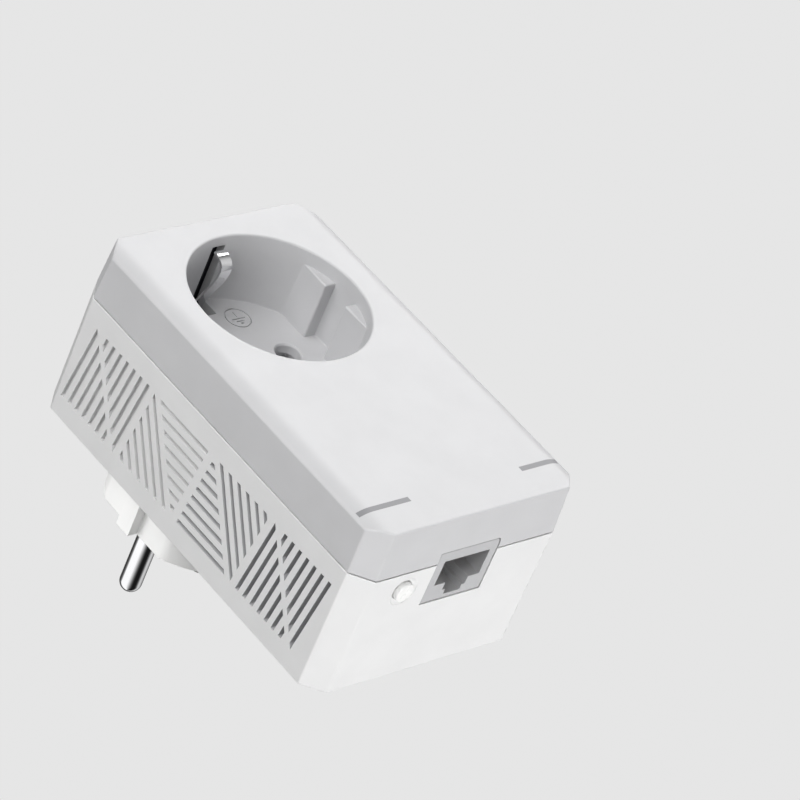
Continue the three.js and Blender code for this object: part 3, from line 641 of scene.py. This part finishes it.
def socket_recess():
    """The recess, with a rounded mouth and a small fillet round its floor."""
    foot = 0.25
    lead = 10  # degrees short of level at which the mouth's curve runs out straight
    mouth = arc((SOCKET_RADIUS + RIM_FILLET, FRONT_Y + RIM_FILLET), RIM_FILLET, lead - 90, -180, 6)
    flare = (mouth[0][0] + math.cos(math.radians(lead)), mouth[0][1] - math.sin(math.radians(lead)))
    profile = [(0, FRONT_Y - 1), (flare[0], FRONT_Y - 1), flare, *mouth]
    profile += arc((SOCKET_RADIUS - foot, FLOOR_Y - foot), foot, 0, 90, 3)
    profile.append((0, FLOOR_Y))
    return turned(profile, "y", (0, 0), SOCKET_ROUND)


def socket_guides():
    """The four blocks beside the three and nine o'clock grooves."""
    blocks = []
    for x in (-1, 1):
        for z in (-1, 1):
            xs = sorted((x * GUIDE_X, x * (SOCKET_RADIUS + 2.6)))
            zs = sorted(z * edge for edge in GUIDE_Z)
            blocks.append(rounded(block(xs, (FRONT_Y + GUIDE_START, FLOOR_Y + 0.6), zs), 0.4))
    guides = as_object(together(blocks))
    inside_well = rod("y", SOCKET_RADIUS + SOCKET_WALL / 2, FRONT_Y, FLOOR_Y + 1, (0, 0), SOCKET_ROUND)
    return mesh_of(combine(guides, "INTERSECT", inside_well))


def earth_marks():
    """Cutters for the earth symbols engraved in the socket's floor, beside its axis."""
    ys = (FLOOR_Y - 1, FLOOR_Y + 0.4)
    stroke = 0.26
    outer = 2.95
    marks = []
    for z in (-12.4, 12.4):
        at = (5.6, z)
        marks.append(washer(outer, outer - stroke, "y", *ys, at))
        marks.append(block((at[0] - stroke / 2, at[0] + stroke / 2), ys, (z + 0.2, z + 2.0)))
        for i, half in enumerate((1.7, 1.05, 0.45)):
            top = z - 0.1 - 0.72 * i
            marks.append(block((at[0] - half, at[0] + half), ys, (top - stroke, top)))
    return marks


def clip_slot_cutters():
    """The earth clips' slots, down the recess wall and into its floor."""
    cutters = []
    across = (-CLIP_SLOT_HALF_WIDTH, CLIP_SLOT_HALF_WIDTH)
    for side in (-1, 1):
        wall_depth = (side * (SOCKET_RADIUS - 0.9), side * (SOCKET_RADIUS + SOCKET_WALL + 0.6))
        floor_depth = (side * CLIP_SLOT_INNER, wall_depth[1])
        down_wall = as_object(block(across, (FRONT_Y + CLIP_SLOT_START, FLOOR_BACK + 1), sorted(wall_depth)))
        combine(down_wall, "UNION", block(across, (FLOOR_Y - 1.02, FLOOR_BACK + 1.05), sorted(floor_depth)))
        cutters.append(mesh_of(down_wall))
    return cutters


def pin_hole_cutters():
    profile = [
        (0, FLOOR_Y - 1), (PIN_HOLE_RADIUS + 1.35, FLOOR_Y - 1), (PIN_HOLE_RADIUS + 0.05, FLOOR_Y + 0.3),
        (PIN_HOLE_RADIUS, FLOOR_Y + 0.5), (PIN_HOLE_RADIUS, FLOOR_BACK + 1), (0, FLOOR_BACK + 1),
    ]
    return [turned(profile, "y", (side * PIN_X, 0), 48) for side in (-1, 1)]


def port_window(inward):
    """The hole for the network jack through both shells, its outer front corner rounded like the jack's."""
    return prism(jack_outline(FIT), "z", BODY_BOTTOM - 1, inward)


def jack_outline(margin):
    """The jack's end as (x, y) points, one corner rounded."""
    low = (JACK_LOW.x - margin, JACK_LOW.y - margin)
    high = (JACK_HIGH.x + margin, JACK_HIGH.y + margin)
    radius = 1.0
    corner = arc((high[0] - radius, low[1] + radius), radius, -90, 0, 6)
    return [low, *corner, high, (low[0], high[1])]


def print_line(obj):
    """Gives the printed line across the foot of the front face its own faces and material."""
    middle, height = -58.15, 1.25
    gap = (-13.5, 16.3)
    end = 26.7
    bm = bmesh.new()
    bm.from_mesh(obj.data)
    cuts = [((0, 0, middle - height / 2), (0, 0, 1)), ((0, 0, middle + height / 2), (0, 0, 1))]
    cuts += [((x, 0, 0), (1, 0, 0)) for x in (-end, *gap, end)]
    for place, normal in cuts:
        near = [f for f in bm.faces if f.calc_center_median().y < FRONT_Y + 1.6 and f.normal.y < 0.3]
        if normal[0]:
            near = [f for f in near if abs(f.calc_center_median().z - middle) < height / 2]
        edges = {e for f in near for e in f.edges}
        verts = {v for f in near for v in f.verts}
        bmesh.ops.bisect_plane(
            bm, geom=[*near, *edges, *verts], plane_co=place, plane_no=normal, dist=1e-5
        )
    for face in bm.faces:
        at = face.calc_center_median()
        in_height = abs(at.z - middle) < height / 2 and at.y < FRONT_Y + 1.3
        if in_height and face.normal.y < -0.35 and abs(at.x) < end and not gap[0] < at.x < gap[1]:
            face.material_index = 1
    bm.to_mesh(obj.data)
    bm.free()


def build_cover():
    shell = as_object(cover_block())
    combine(shell, "DIFFERENCE", prism(body_outline(WALL), "y", FRONT_Y + WALL, COVER_BACK + 1))
    lip = ring_wall(LIP_OUTER, LIP_INNER, COVER_BACK - 1, LIP_END)
    lip_root = ring_wall(WALL - 0.2, LIP_INNER + 0.03, COVER_BACK - 3, COVER_BACK - 0.02)
    combine(lip, "UNION", mesh_of(lip_root))
    well = rod("y", SOCKET_RADIUS + SOCKET_WALL, FRONT_Y + 1, FLOOR_BACK, (0, 0), SOCKET_ROUND)
    combine(shell, "UNION", mesh_of(lip))
    combine(shell, "UNION", well)
    root_y = FRONT_Y + WALL - 0.5
    bosses = [rod("y", BOSS_RADIUS, root_y, POST_END_Y - CLEAR, at) for at in screw_places()]
    rest_x, rest_z = BOARD_REST
    rests = [rod("y", BOARD_REST_RADIUS, root_y, BOARD_FRONT_Y, (side * rest_x, rest_z)) for side in (-1, 1)]
    combine(shell, "UNION", *bosses, *rests)
    combine(shell, "DIFFERENCE", socket_recess())
    combine(shell, "UNION", socket_guides())
    combine(shell, "DIFFERENCE", *earth_marks())
    threads = [rod("y", SHANK_HOLE, THREAD_END_Y, POST_END_Y + 1, at, 24) for at in screw_places()]
    light_span = (HALF_WIDTH - 4, HALF_WIDTH + 1)
    lights = [rod("x", LIGHT_HOLE_RADIUS, *light_span, (LIGHT_Y, z), 32) for z in LIGHT_HEIGHTS]
    combine(shell, "DIFFERENCE", *clip_slot_cutters(), *pin_hole_cutters(), *threads, *lights)
    carrier_notch = block(
        (-CARRIER_HALF_WIDTH, CARRIER_HALF_WIDTH), (COVER_BACK - 4, LIP_END + 1),
        (SOCKET_RADIUS + SOCKET_WALL + 0.1, BODY_TOP - WALL),
    )
    combine(shell, "DIFFERENCE", carrier_notch, port_window(PORT_WINDOW_END))
    tidy_mesh(shell)
    print_line(shell)
    for material in (LOOKS["cover_plastic"], PRINTED):
        shell.data.materials.append(material)
    finish_piece(shell, "cover_shell", "cover_plastic", "housing", "front_cover")


# ---- vents ----

VENT_Y, VENT_Z = -31.7, -20.0
VENT_HALF_WIDTH = 9.7
SLOT_WIDTH = 0.95
SLOT_TILT = 0.137
SLOT_STEEP = 0.71
GROOVE_DEPTH = 0.9
LEVEL_BLOCK_Z = 29.7  # middle of the block of near-level slots, above the pattern's middle
LEVEL_TOP, LEVEL_PITCH = 9.87, 2.325
DIAGONAL_START, DIAGONAL_PITCH = -8.78, 3.357
DIAGONAL_TOP = 18.83
UPRIGHT_START, UPRIGHT_PITCH = -9.04, 2.41
UPRIGHT_FOOT, UPRIGHT_TOP = 0.96, 8.95


def crossing(p, d, q, e):
    """Where the line through p along d meets the line through q along e."""
    t = ((q[0] - p[0]) * e[1] - (q[1] - p[1]) * e[0]) / (d[0] * e[1] - d[1] * e[0])
    return (p[0] + t * d[0], p[1] + t * d[1])


def vent_slot(p, d, start_cut, end_cut):
    """A slot along d through p, its ends cut along two lines."""
    length = math.hypot(*d)
    side = (-d[1] / length * SLOT_WIDTH / 2, d[0] / length * SLOT_WIDTH / 2)
    upper = (p[0] + side[0], p[1] + side[1])
    lower = (p[0] - side[0], p[1] - side[1])
    return [
        crossing(lower, d, *start_cut), crossing(lower, d, *end_cut),
        crossing(upper, d, *end_cut), crossing(upper, d, *start_cut),
    ]


def vent_pattern():
    """The upper half's slots: two triangles of near-level ones, six diagonals and eight uprights."""
    level, falling = (1, SLOT_TILT), (1, -SLOT_STEEP)
    edge = ((VENT_HALF_WIDTH, 0), (0, 1))
    bar = ((0, LEVEL_BLOCK_Z + 0.75), falling)
    slots = []
    for k in range(7):
        v = LEVEL_BLOCK_Z + LEVEL_TOP - LEVEL_PITCH * k
        slot = vent_slot((VENT_HALF_WIDTH, v), level, bar, edge)
        slots.append(slot)
        slots.append([(-u, 2 * LEVEL_BLOCK_Z - v) for u, v in slot])
    for k in range(6):
        u = DIAGONAL_START + DIAGONAL_PITCH * k
        start = (u, DIAGONAL_TOP + SLOT_TILT * u)
        slots.append(vent_slot(start, falling, ((0, DIAGONAL_TOP), level), edge))
    for k in range(8):
        start = (UPRIGHT_START + UPRIGHT_PITCH * k, 0)
        slots.append(vent_slot(start, (0, 1), ((0, UPRIGHT_FOOT), level), ((0, UPRIGHT_TOP), falling)))
    return slots


def vent_cutters():
    """On each side the upper half's slots are grooves, and the same pattern turned over is cut through."""
    cutters = []
    for side in (-1, 1):
        outer = side * (HALF_WIDTH + 1)
        for turn, depth in ((1, GROOVE_DEPTH), (-1, WALL + 0.05)):
            for slot in vent_pattern():
                outline = [(VENT_Y + turn * u, VENT_Z + turn * v) for u, v in slot]
                cutters.append(prism(outline, "x", side * (HALF_WIDTH - depth), outer))
    return cutters


def paint_vent_shade(obj):
    """Paints shade into the vents: the walls of the through slots and the grooves above them get darker
    copies of the casing plastic.
    """
    for material in (LOOKS["casing_plastic"], SLOT_PAINTED_SHADE, GROOVE_PAINTED_SHADE):
        obj.data.materials.append(material)
    for face in obj.data.polygons:
        at = face.center
        in_wall = HALF_WIDTH - WALL + 0.05 < abs(at.x) < HALF_WIDTH - 0.05
        clear_of_seam = CASING_FRONT + 1 < at.y < BACK_Y - 1
        clear_of_ends = abs(at.z - BODY_MIDDLE) < HALF_HEIGHT - 4.5
        if in_wall and clear_of_seam and clear_of_ends:
            # darker painted shade in the through slots below the pattern's middle, lighter painted shade in
            # the grooves above
            face.material_index = 1 if at.z < VENT_Z else 2


# ---- casing ----


def button_dish():
    """Cutter for the button's hole and the shallow dish round it."""
    hole = BUTTON_RADIUS + FIT
    profile = [
        (0, BODY_BOTTOM - 1), (3.9, BODY_BOTTOM - 1), (3.35, BODY_BOTTOM + 0.02), (3.1, BODY_BOTTOM + 0.2),
        (2.75, BODY_BOTTOM + 0.42), (hole, BODY_BOTTOM + 0.55),
        (hole, BODY_BOTTOM + WALL + 1), (0, BODY_BOTTOM + WALL + 1),
    ]
    return turned(profile, "z", BUTTON_AT, 48)


def build_casing():
    shell = as_object(casing_block())
    combine(shell, "DIFFERENCE", prism(body_outline(WALL), "y", CASING_FRONT - 1, BACK_Y - WALL))
    posts = as_object(together([rod("y", POST_RADIUS, POST_END_Y, BACK_Y - 1, at) for at in screw_places()]))
    combine(posts, "INTERSECT", prism(body_outline(WALL / 2), "y", POST_END_Y - 1, BACK_Y))
    combine(shell, "UNION", mesh_of(posts))
    holes = []
    for at in screw_places():
        profile = [
            (0, POST_END_Y - 1), (SHANK_HOLE, POST_END_Y - 1), (SHANK_HOLE, SCREW_SEAT_Y),
            (HEAD_HOLE, SCREW_SEAT_Y), (HEAD_HOLE, BACK_Y - 0.35), (HEAD_HOLE + 0.35, BACK_Y),
            (HEAD_HOLE + 1.3, BACK_Y + 0.95), (0, BACK_Y + 0.95),
        ]
        holes.append(turned(profile, "y", at, 40))
    combine(shell, "DIFFERENCE", *holes, button_dish())
    combine(shell, "DIFFERENCE", port_window(BODY_BOTTOM + WALL + 1))
    combine(shell, "DIFFERENCE", prism(plug_outline(FIT), "y", BACK_Y - WALL - 1, BACK_Y + 1))
    combine(shell, "DIFFERENCE", *vent_cutters())
    # paints shade into the vent slots and grooves with darker materials
    paint_vent_shade(shell)
    finish_piece(shell, "casing_shell", "casing_plastic", "housing", "rear_casing")


# ---- plug ----


def plug_outline(margin, steps=20):
    """The plug's section: a disc with a flat on each side and a rib on each flat, as (x, z) points."""
    radius = PLUG_RADIUS + margin
    flat = PLUG_FLAT + margin
    rib = PLUG_RIB / 2 + margin
    flat_turn = math.degrees(math.acos(flat / radius))
    rib_turn = math.degrees(math.asin(rib / radius))
    outline = []
    for side in (0, 180):
        outline += arc((0, 0), radius, side - rib_turn, side + rib_turn, 2)
        sign = 1 if side == 0 else -1
        outline.append((sign * flat, sign * rib))
        outline += arc((0, 0), radius, side + flat_turn, side + 180 - flat_turn, steps)
        outline.append((-sign * flat, sign * rib))
    return outline


EARTH_CHANNEL_HALF_WIDTH = 2.7
EARTH_CHANNEL = (16.8, 21)
EARTH_BORE, EARTH_HOLE = 3.4, 2.6


def pin_bore(side, low, high):
    """Cutter for the room round a contact sleeve and the pin's way out through the plug's face."""
    sleeve_low, sleeve_high = span("contact_sleeve_neutral")
    sleeve_radius = (sleeve_high.x - sleeve_low.x) / 2 + 0.25
    hole = PIN_RADIUS + FIT
    profile = [
        (0, low.y - 1), (sleeve_radius, low.y - 1), (sleeve_radius, sleeve_high.y + 0.3),
        (hole, sleeve_high.y + 0.3), (hole, high.y - 0.25), (hole + 0.25, high.y),
        (hole + 1.25, high.y + 1), (0, high.y + 1),
    ]
    return turned(profile, "y", (side * PIN_X, 0), 48)


def earth_pin_hole(low, high):
    """Cutter for the earth sleeve's room and its hole in the plug's face."""
    sleeve_low, sleeve_high = span("plug_earth_sleeve")
    profile = [
        (0, low.y - 1), (EARTH_BORE, low.y - 1), (EARTH_BORE, high.y - 3), (EARTH_HOLE, high.y - 3),
        (EARTH_HOLE, high.y - 0.5), (EARTH_HOLE + 0.5, high.y), (EARTH_HOLE + 1.5, high.y + 1),
        (0, high.y + 1),
    ]
    return turned(profile, "y", (0, (sleeve_low.z + sleeve_high.z) / 2), 48)


def build_plug():
    low, high = span("plug_body")
    flange_end = BACK_Y - WALL - 0.2
    drum = prism(plug_outline(0), "y", flange_end - 1, high.y)
    rounded(drum, 0.55, 4, 50, lambda e: all(abs(v.co.y - high.y) < 1e-3 for v in e.verts))
    body = as_object(drum)
    combine(body, "UNION", rod("y", high.x, low.y, flange_end, (0, 0), 96))
    channel_xs = (-EARTH_CHANNEL_HALF_WIDTH, EARTH_CHANNEL_HALF_WIDTH)
    cutters = []
    for side in (-1, 1):
        cutters.append(pin_bore(side, low, high))
        zs = sorted(side * edge for edge in EARTH_CHANNEL)
        cutters.append(rounded(block(channel_xs, (low.y - 1, high.y - 1.7), zs), 0.2, 2))
    cutters.append(earth_pin_hole(low, high))
    combine(body, "DIFFERENCE", *cutters)
    finish_piece(body, "plug_base", "plug_plastic", "housing", "plug_body")


def build_pins():
    for name, side in (("line", -1), ("neutral", 1)):
        low, high = span("plug_pin_" + name)
        tip = high.y - PIN_RADIUS
        profile = [(0, low.y), (PIN_RADIUS - 0.3, low.y), (PIN_RADIUS, low.y + 0.3)]
        profile += [(r, tip + t) for r, t in arc((0, 0), PIN_RADIUS, 0, 85, 12)]
        profile.append((0, high.y))
        pin = as_object(turned(profile, "y", (side * PIN_X, 0), 64))
        finish_piece(pin, "pin_" + name, "plated_contact", "housing", "plug_pin_" + name)


def build_earth_strips():
    for name, side in (("upper", 1), ("lower", -1)):
        node = "plug_earth_strip_" + name
        low, high = span(node)
        inner, outer = sorted((abs(low.z), abs(high.z)))
        thickness = 0.5
        foot = inner + thickness / 2
        crown = outer - thickness / 2
        shape = [
            (low.y, foot), (high.y - 16, foot), (high.y - 9, crown), (high.y - 4, crown),
            (high.y, foot + 0.05),
        ]
        line = [(y, side * z) for y, z in smooth_line(shape, 5)]
        strip = as_object(bent_strip(line, thickness, (low.x, high.x), 0.12))
        finish_piece(strip, "earth_strip_" + name, "plated_contact", "housing", node)


# ---- socket works ----

# One earth clip's leaf from its foot to its tip, as (y, distance from the socket's axis).
CLIP_LINE = [
    (-36.0, 19.1), (-39.8, 19.0), (-42.2, 18.5), (-44.8, 17.5), (-47.3, 16.5), (-49.6, 15.8),
    (-51.3, 15.5), (-52.7, 15.6), (-53.7, 16.3), (-54.3, 17.4), (-54.5, 18.8),
]


CLIP_THICKNESS = 0.58


def build_clips():
    for name, side in (("upper", 1), ("lower", -1)):
        node = "earth_clip_" + name
        low, high = span(node)
        line = [(y, side * r) for y, r in smooth_line(CLIP_LINE, 4)]
        clip = as_object(bent_strip(line, CLIP_THICKNESS, (low.x, high.x), 0.14))
        finish_piece(clip, "clip_" + name, "plated_contact", name + "_clip", node)


def build_springs():
    turns, steps, coil, wire = 5, 24, 1.15, 0.22
    for name, side in (("left", -1), ("right", 1)):
        node = "shutter_spring_" + name
        low, high = span(node)
        middle = ((low.x + high.x) / 2, (low.y + high.y) / 2)
        start, end = low.z + wire, high.z - wire
        points = []
        for i in range(turns * steps + 1):
            angle = 2 * math.pi * i / steps
            height = start + (end - start) * i / (turns * steps)
            points.append((middle[0] + coil * math.cos(angle), middle[1] + coil * math.sin(angle), height))
        spring = as_object(tube(points, wire))
        finish_piece(spring, "return_spring_" + name, "spring_steel", "housing", node)
        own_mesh(spring)


# ---- network port and button ----


# The jack's opening: each step's half width, its range in y and how far in it ends.
JACK_STEPS = [(6.05, (-46.6, -40.3), -53.5), (3.05, (-40.8, -38.4), -54.5), (2.2, (-38.9, -37.1), -56)]


def build_jack():
    low, high = JACK_LOW, JACK_HIGH
    body = prism(jack_outline(0), "z", low.z, high.z)
    rounded(body, 0.25, 3, 40, lambda e: all(abs(v.co.z - low.z) < 1e-3 for v in e.verts))
    jack = as_object(body)
    for half, ys, depth in JACK_STEPS:
        pocket = block((PORT_X - half, PORT_X + half), ys, (low.z - 1, depth))
        combine(jack, "DIFFERENCE", rounded(pocket, 0.2, 2))
    finish_piece(jack, "jack_body", "port_plastic", "housing", "network_jack")


def build_button():
    low, high = BUTTON_LOW, BUTTON_HIGH
    top = low.z
    dome, edge = 0.14, 0.35
    rim = BUTTON_RADIUS - edge
    profile = [(rim * t, top + dome * t * t) for t in (0, 0.35, 0.6, 0.8)]
    profile += [(rim + a, top + dome + edge - b) for a, b in arc((0, 0), edge, 90, 0, 5)]
    flange = (high.x - low.x) / 2
    stem = 1.5
    shoulder = BODY_BOTTOM + WALL + CLEAR
    profile += [
        (BUTTON_RADIUS, shoulder), (flange, shoulder), (flange, shoulder + 1.0), (stem, shoulder + 1.0),
        (stem, high.z), (0, high.z),
    ]
    button = as_object(turned(profile, "z", BUTTON_AT, 64))
    finish_piece(button, "button_cap", "button_plastic", "button", "pair_button")


# ---- carried-over CAD nodes ----


def dress_cad_nodes():
    """Gives each shown CAD node its slot's material and small rounded edges."""
    slots = {row["node"]: row["material_slot"] for row in frame["record"]["subparts"]}
    for name, node in frame["nodes"].items():
        if node.hide_render:
            continue
        node.data.materials.clear()
        node.data.materials.append(LOOKS[slots[name]])
        weld = node.modifiers.new("weld", "WELD")
        weld.merge_threshold = 0.001 * MM
        flat = node.modifiers.new("flat faces", "DECIMATE")
        flat.decimate_type = "DISSOLVE"
        flat.angle_limit = math.radians(1)
        bevel = node.modifiers.new("rounded", "BEVEL")
        bevel.width = 0.12 * MM
        bevel.segments = 2
        bevel.limit_method = "ANGLE"
        bevel.angle_limit = math.radians(40)
        node.modifiers.new("even shading", "WEIGHTED_NORMAL")


# ---- studio ----

CAMERA_PLACE = Vector((-572.99, -545.5, -452.38)) * MM
CAMERA_TURN = (127.497, 37.245, -24.913)  # degrees about X, then Y, then Z
CAMERA_LENS = 199.75
LIGHT_AIM = Vector((0, -30, -20)) * MM
FLOOR_HALF_WIDTH = 9000
FLOOR_TOP = -1500
BACKGROUND = 0.79
AMBIENT = 0.12
FLOOR_GLOW = 0.64
# What shiny surfaces mirror: brightness at turns about the Y axis, from straight left (0) past the bottom,
# right and top to straight left again (1).
MIRRORED = [
    (0.0, 1.25), (0.05, 1.2), (0.08, 0.85), (0.105, 0.6), (0.13, 0.33), (0.155, 0.14), (0.18, 0.045),
    (0.205, 0.012), (0.28, 0.012), (0.315, 0.06), (0.345, 0.33), (0.38, 0.75), (0.43, 0.65), (0.49, 0.3),
    (0.53, 0.12), (0.78, 0.05), (0.83, 0.3), (0.865, 1.2), (1.0, 1.25),
]


def build_camera():
    camera = bpy.data.objects.new("camera", bpy.data.cameras.new("camera"))
    camera.data.lens = CAMERA_LENS
    camera.data.sensor_width = 36
    camera.data.clip_start = 0.01
    camera.data.clip_end = 50
    turn = Euler([math.radians(angle) for angle in CAMERA_TURN], "XYZ").to_matrix()
    camera.matrix_world = Matrix.Translation(CAMERA_PLACE) @ turn.to_4x4()
    bpy.context.scene.collection.objects.link(camera)
    bpy.context.scene.camera = camera


def soft_light(name, direction, distance, size, power):
    """A square soft light that faces the body's middle."""
    data = bpy.data.lights.new(name, "AREA")
    data.size = size
    data.energy = power
    light = bpy.data.objects.new(name, data)
    towards = Vector(direction).normalized()
    light.location = LIGHT_AIM + towards * distance
    light.rotation_mode = "QUATERNION"
    light.rotation_quaternion = towards.to_track_quat("Z", "Y")
    light.visible_camera = False
    light.visible_glossy = False
    bpy.context.scene.collection.objects.link(light)
    return light


def link_light(light, name, state):
    """Keeps a light off one piece, as a card held beside it would, or on that piece alone."""
    linked = bpy.data.collections.new(light.name + " linked")
    linked.objects.link(bpy.data.objects[name])
    linked.collection_objects[0].light_linking.link_state = state
    light.light_linking.receiver_collection = linked


def build_world():
    world = bpy.data.worlds.new("studio")
    bpy.context.scene.world = world
    world.use_nodes = True
    nodes, links = world.node_tree.nodes, world.node_tree.links
    background = nodes["Background"]
    ray = nodes.new("ShaderNodeLightPath")
    mix = nodes.new("ShaderNodeMix")
    mix.data_type = "FLOAT"
    mix.inputs["A"].default_value = AMBIENT
    mix.inputs["B"].default_value = BACKGROUND
    links.new(ray.outputs["Is Camera Ray"], mix.inputs["Factor"])
    direction = nodes.new("ShaderNodeSeparateXYZ")
    links.new(nodes.new("ShaderNodeTexCoord").outputs["Generated"], direction.inputs[0])
    turn = nodes.new("ShaderNodeMath")
    turn.operation = "ARCTAN2"
    links.new(direction.outputs["Z"], turn.inputs[0])
    links.new(direction.outputs["X"], turn.inputs[1])
    whole = nodes.new("ShaderNodeMapRange")
    whole.inputs["From Min"].default_value = -math.pi
    whole.inputs["From Max"].default_value = math.pi
    links.new(turn.outputs[0], whole.inputs["Value"])
    ramp = nodes.new("ShaderNodeFloatCurve")
    curve = ramp.mapping.curves[0]
    ramp.mapping.use_clip = False
    for at, brightness in MIRRORED[1:-1]:
        curve.points.new(at, brightness)
    curve.points[0].location = MIRRORED[0]
    curve.points[-1].location = MIRRORED[-1]
    for point in curve.points:
        point.handle_type = "VECTOR"
    ramp.mapping.update()
    links.new(whole.outputs["Result"], ramp.inputs["Value"])
    shiny = nodes.new("ShaderNodeMix")
    shiny.data_type = "FLOAT"
    links.new(ray.outputs["Is Glossy Ray"], shiny.inputs["Factor"])
    links.new(mix.outputs["Result"], shiny.inputs["A"])
    links.new(ramp.outputs["Value"], shiny.inputs["B"])
    links.new(shiny.outputs["Result"], background.inputs["Strength"])
    background.inputs["Color"].default_value = (1, 1, 1, 1)


def build_floor():
    """A pale floor well below the adapter, which is shown held in the air."""
    across = (-FLOOR_HALF_WIDTH, FLOOR_HALF_WIDTH)
    floor = as_object(block(across, across, (FLOOR_TOP - 10, FLOOR_TOP)))
    floor.name = "floor"
    floor.data.transform(Matrix.Scale(MM, 4))
    glow = {"Emission_Color": (1, 1, 1, 1), "Emission_Strength": FLOOR_GLOW}
    floor.data.materials.append(moulded("floor_paper", (0.78, 0.78, 0.78), 0.9, grain=4, height=0.02, **glow))
    floor.visible_diffuse = False
    floor.visible_glossy = False


def build_lights():
    """Seven soft lights; only the key shows in the gloss, from the camera's mirror direction."""
    key = soft_light("key", (0.668, -0.564, 0.485), 1.4, 1.0, 11)
    key.visible_glossy = True
    soft_light("front", (-0.62, -0.78, 0.08), 1.4, 1.6, 24.5)
    below = soft_light("below", (-0.05, 0.05, -1), 1.2, 0.7, 13)
    soft_light("above", (0.2, 0.2, 1), 1.4, 1.0, 6)
    soft_light("right", (1, 0, 0.1), 1.4, 1.0, 12)
    soft_light("behind", (0.1, 1, 0), 1.4, 1.0, 12)
    left = soft_light("left", (-0.85, 0.3, 0.45), 1.4, 0.8, 9)
    link_light(below, "plug_base", "EXCLUDE")
    link_light(left, "plug_base", "INCLUDE")


build_cover()
build_casing()
build_plug()
build_pins()
build_earth_strips()
build_clips()
build_springs()
build_jack()
build_button()
dress_cad_nodes()
build_camera()
build_world()
build_floor()
build_lights()

bpy.context.scene.view_settings.view_transform = "Standard"
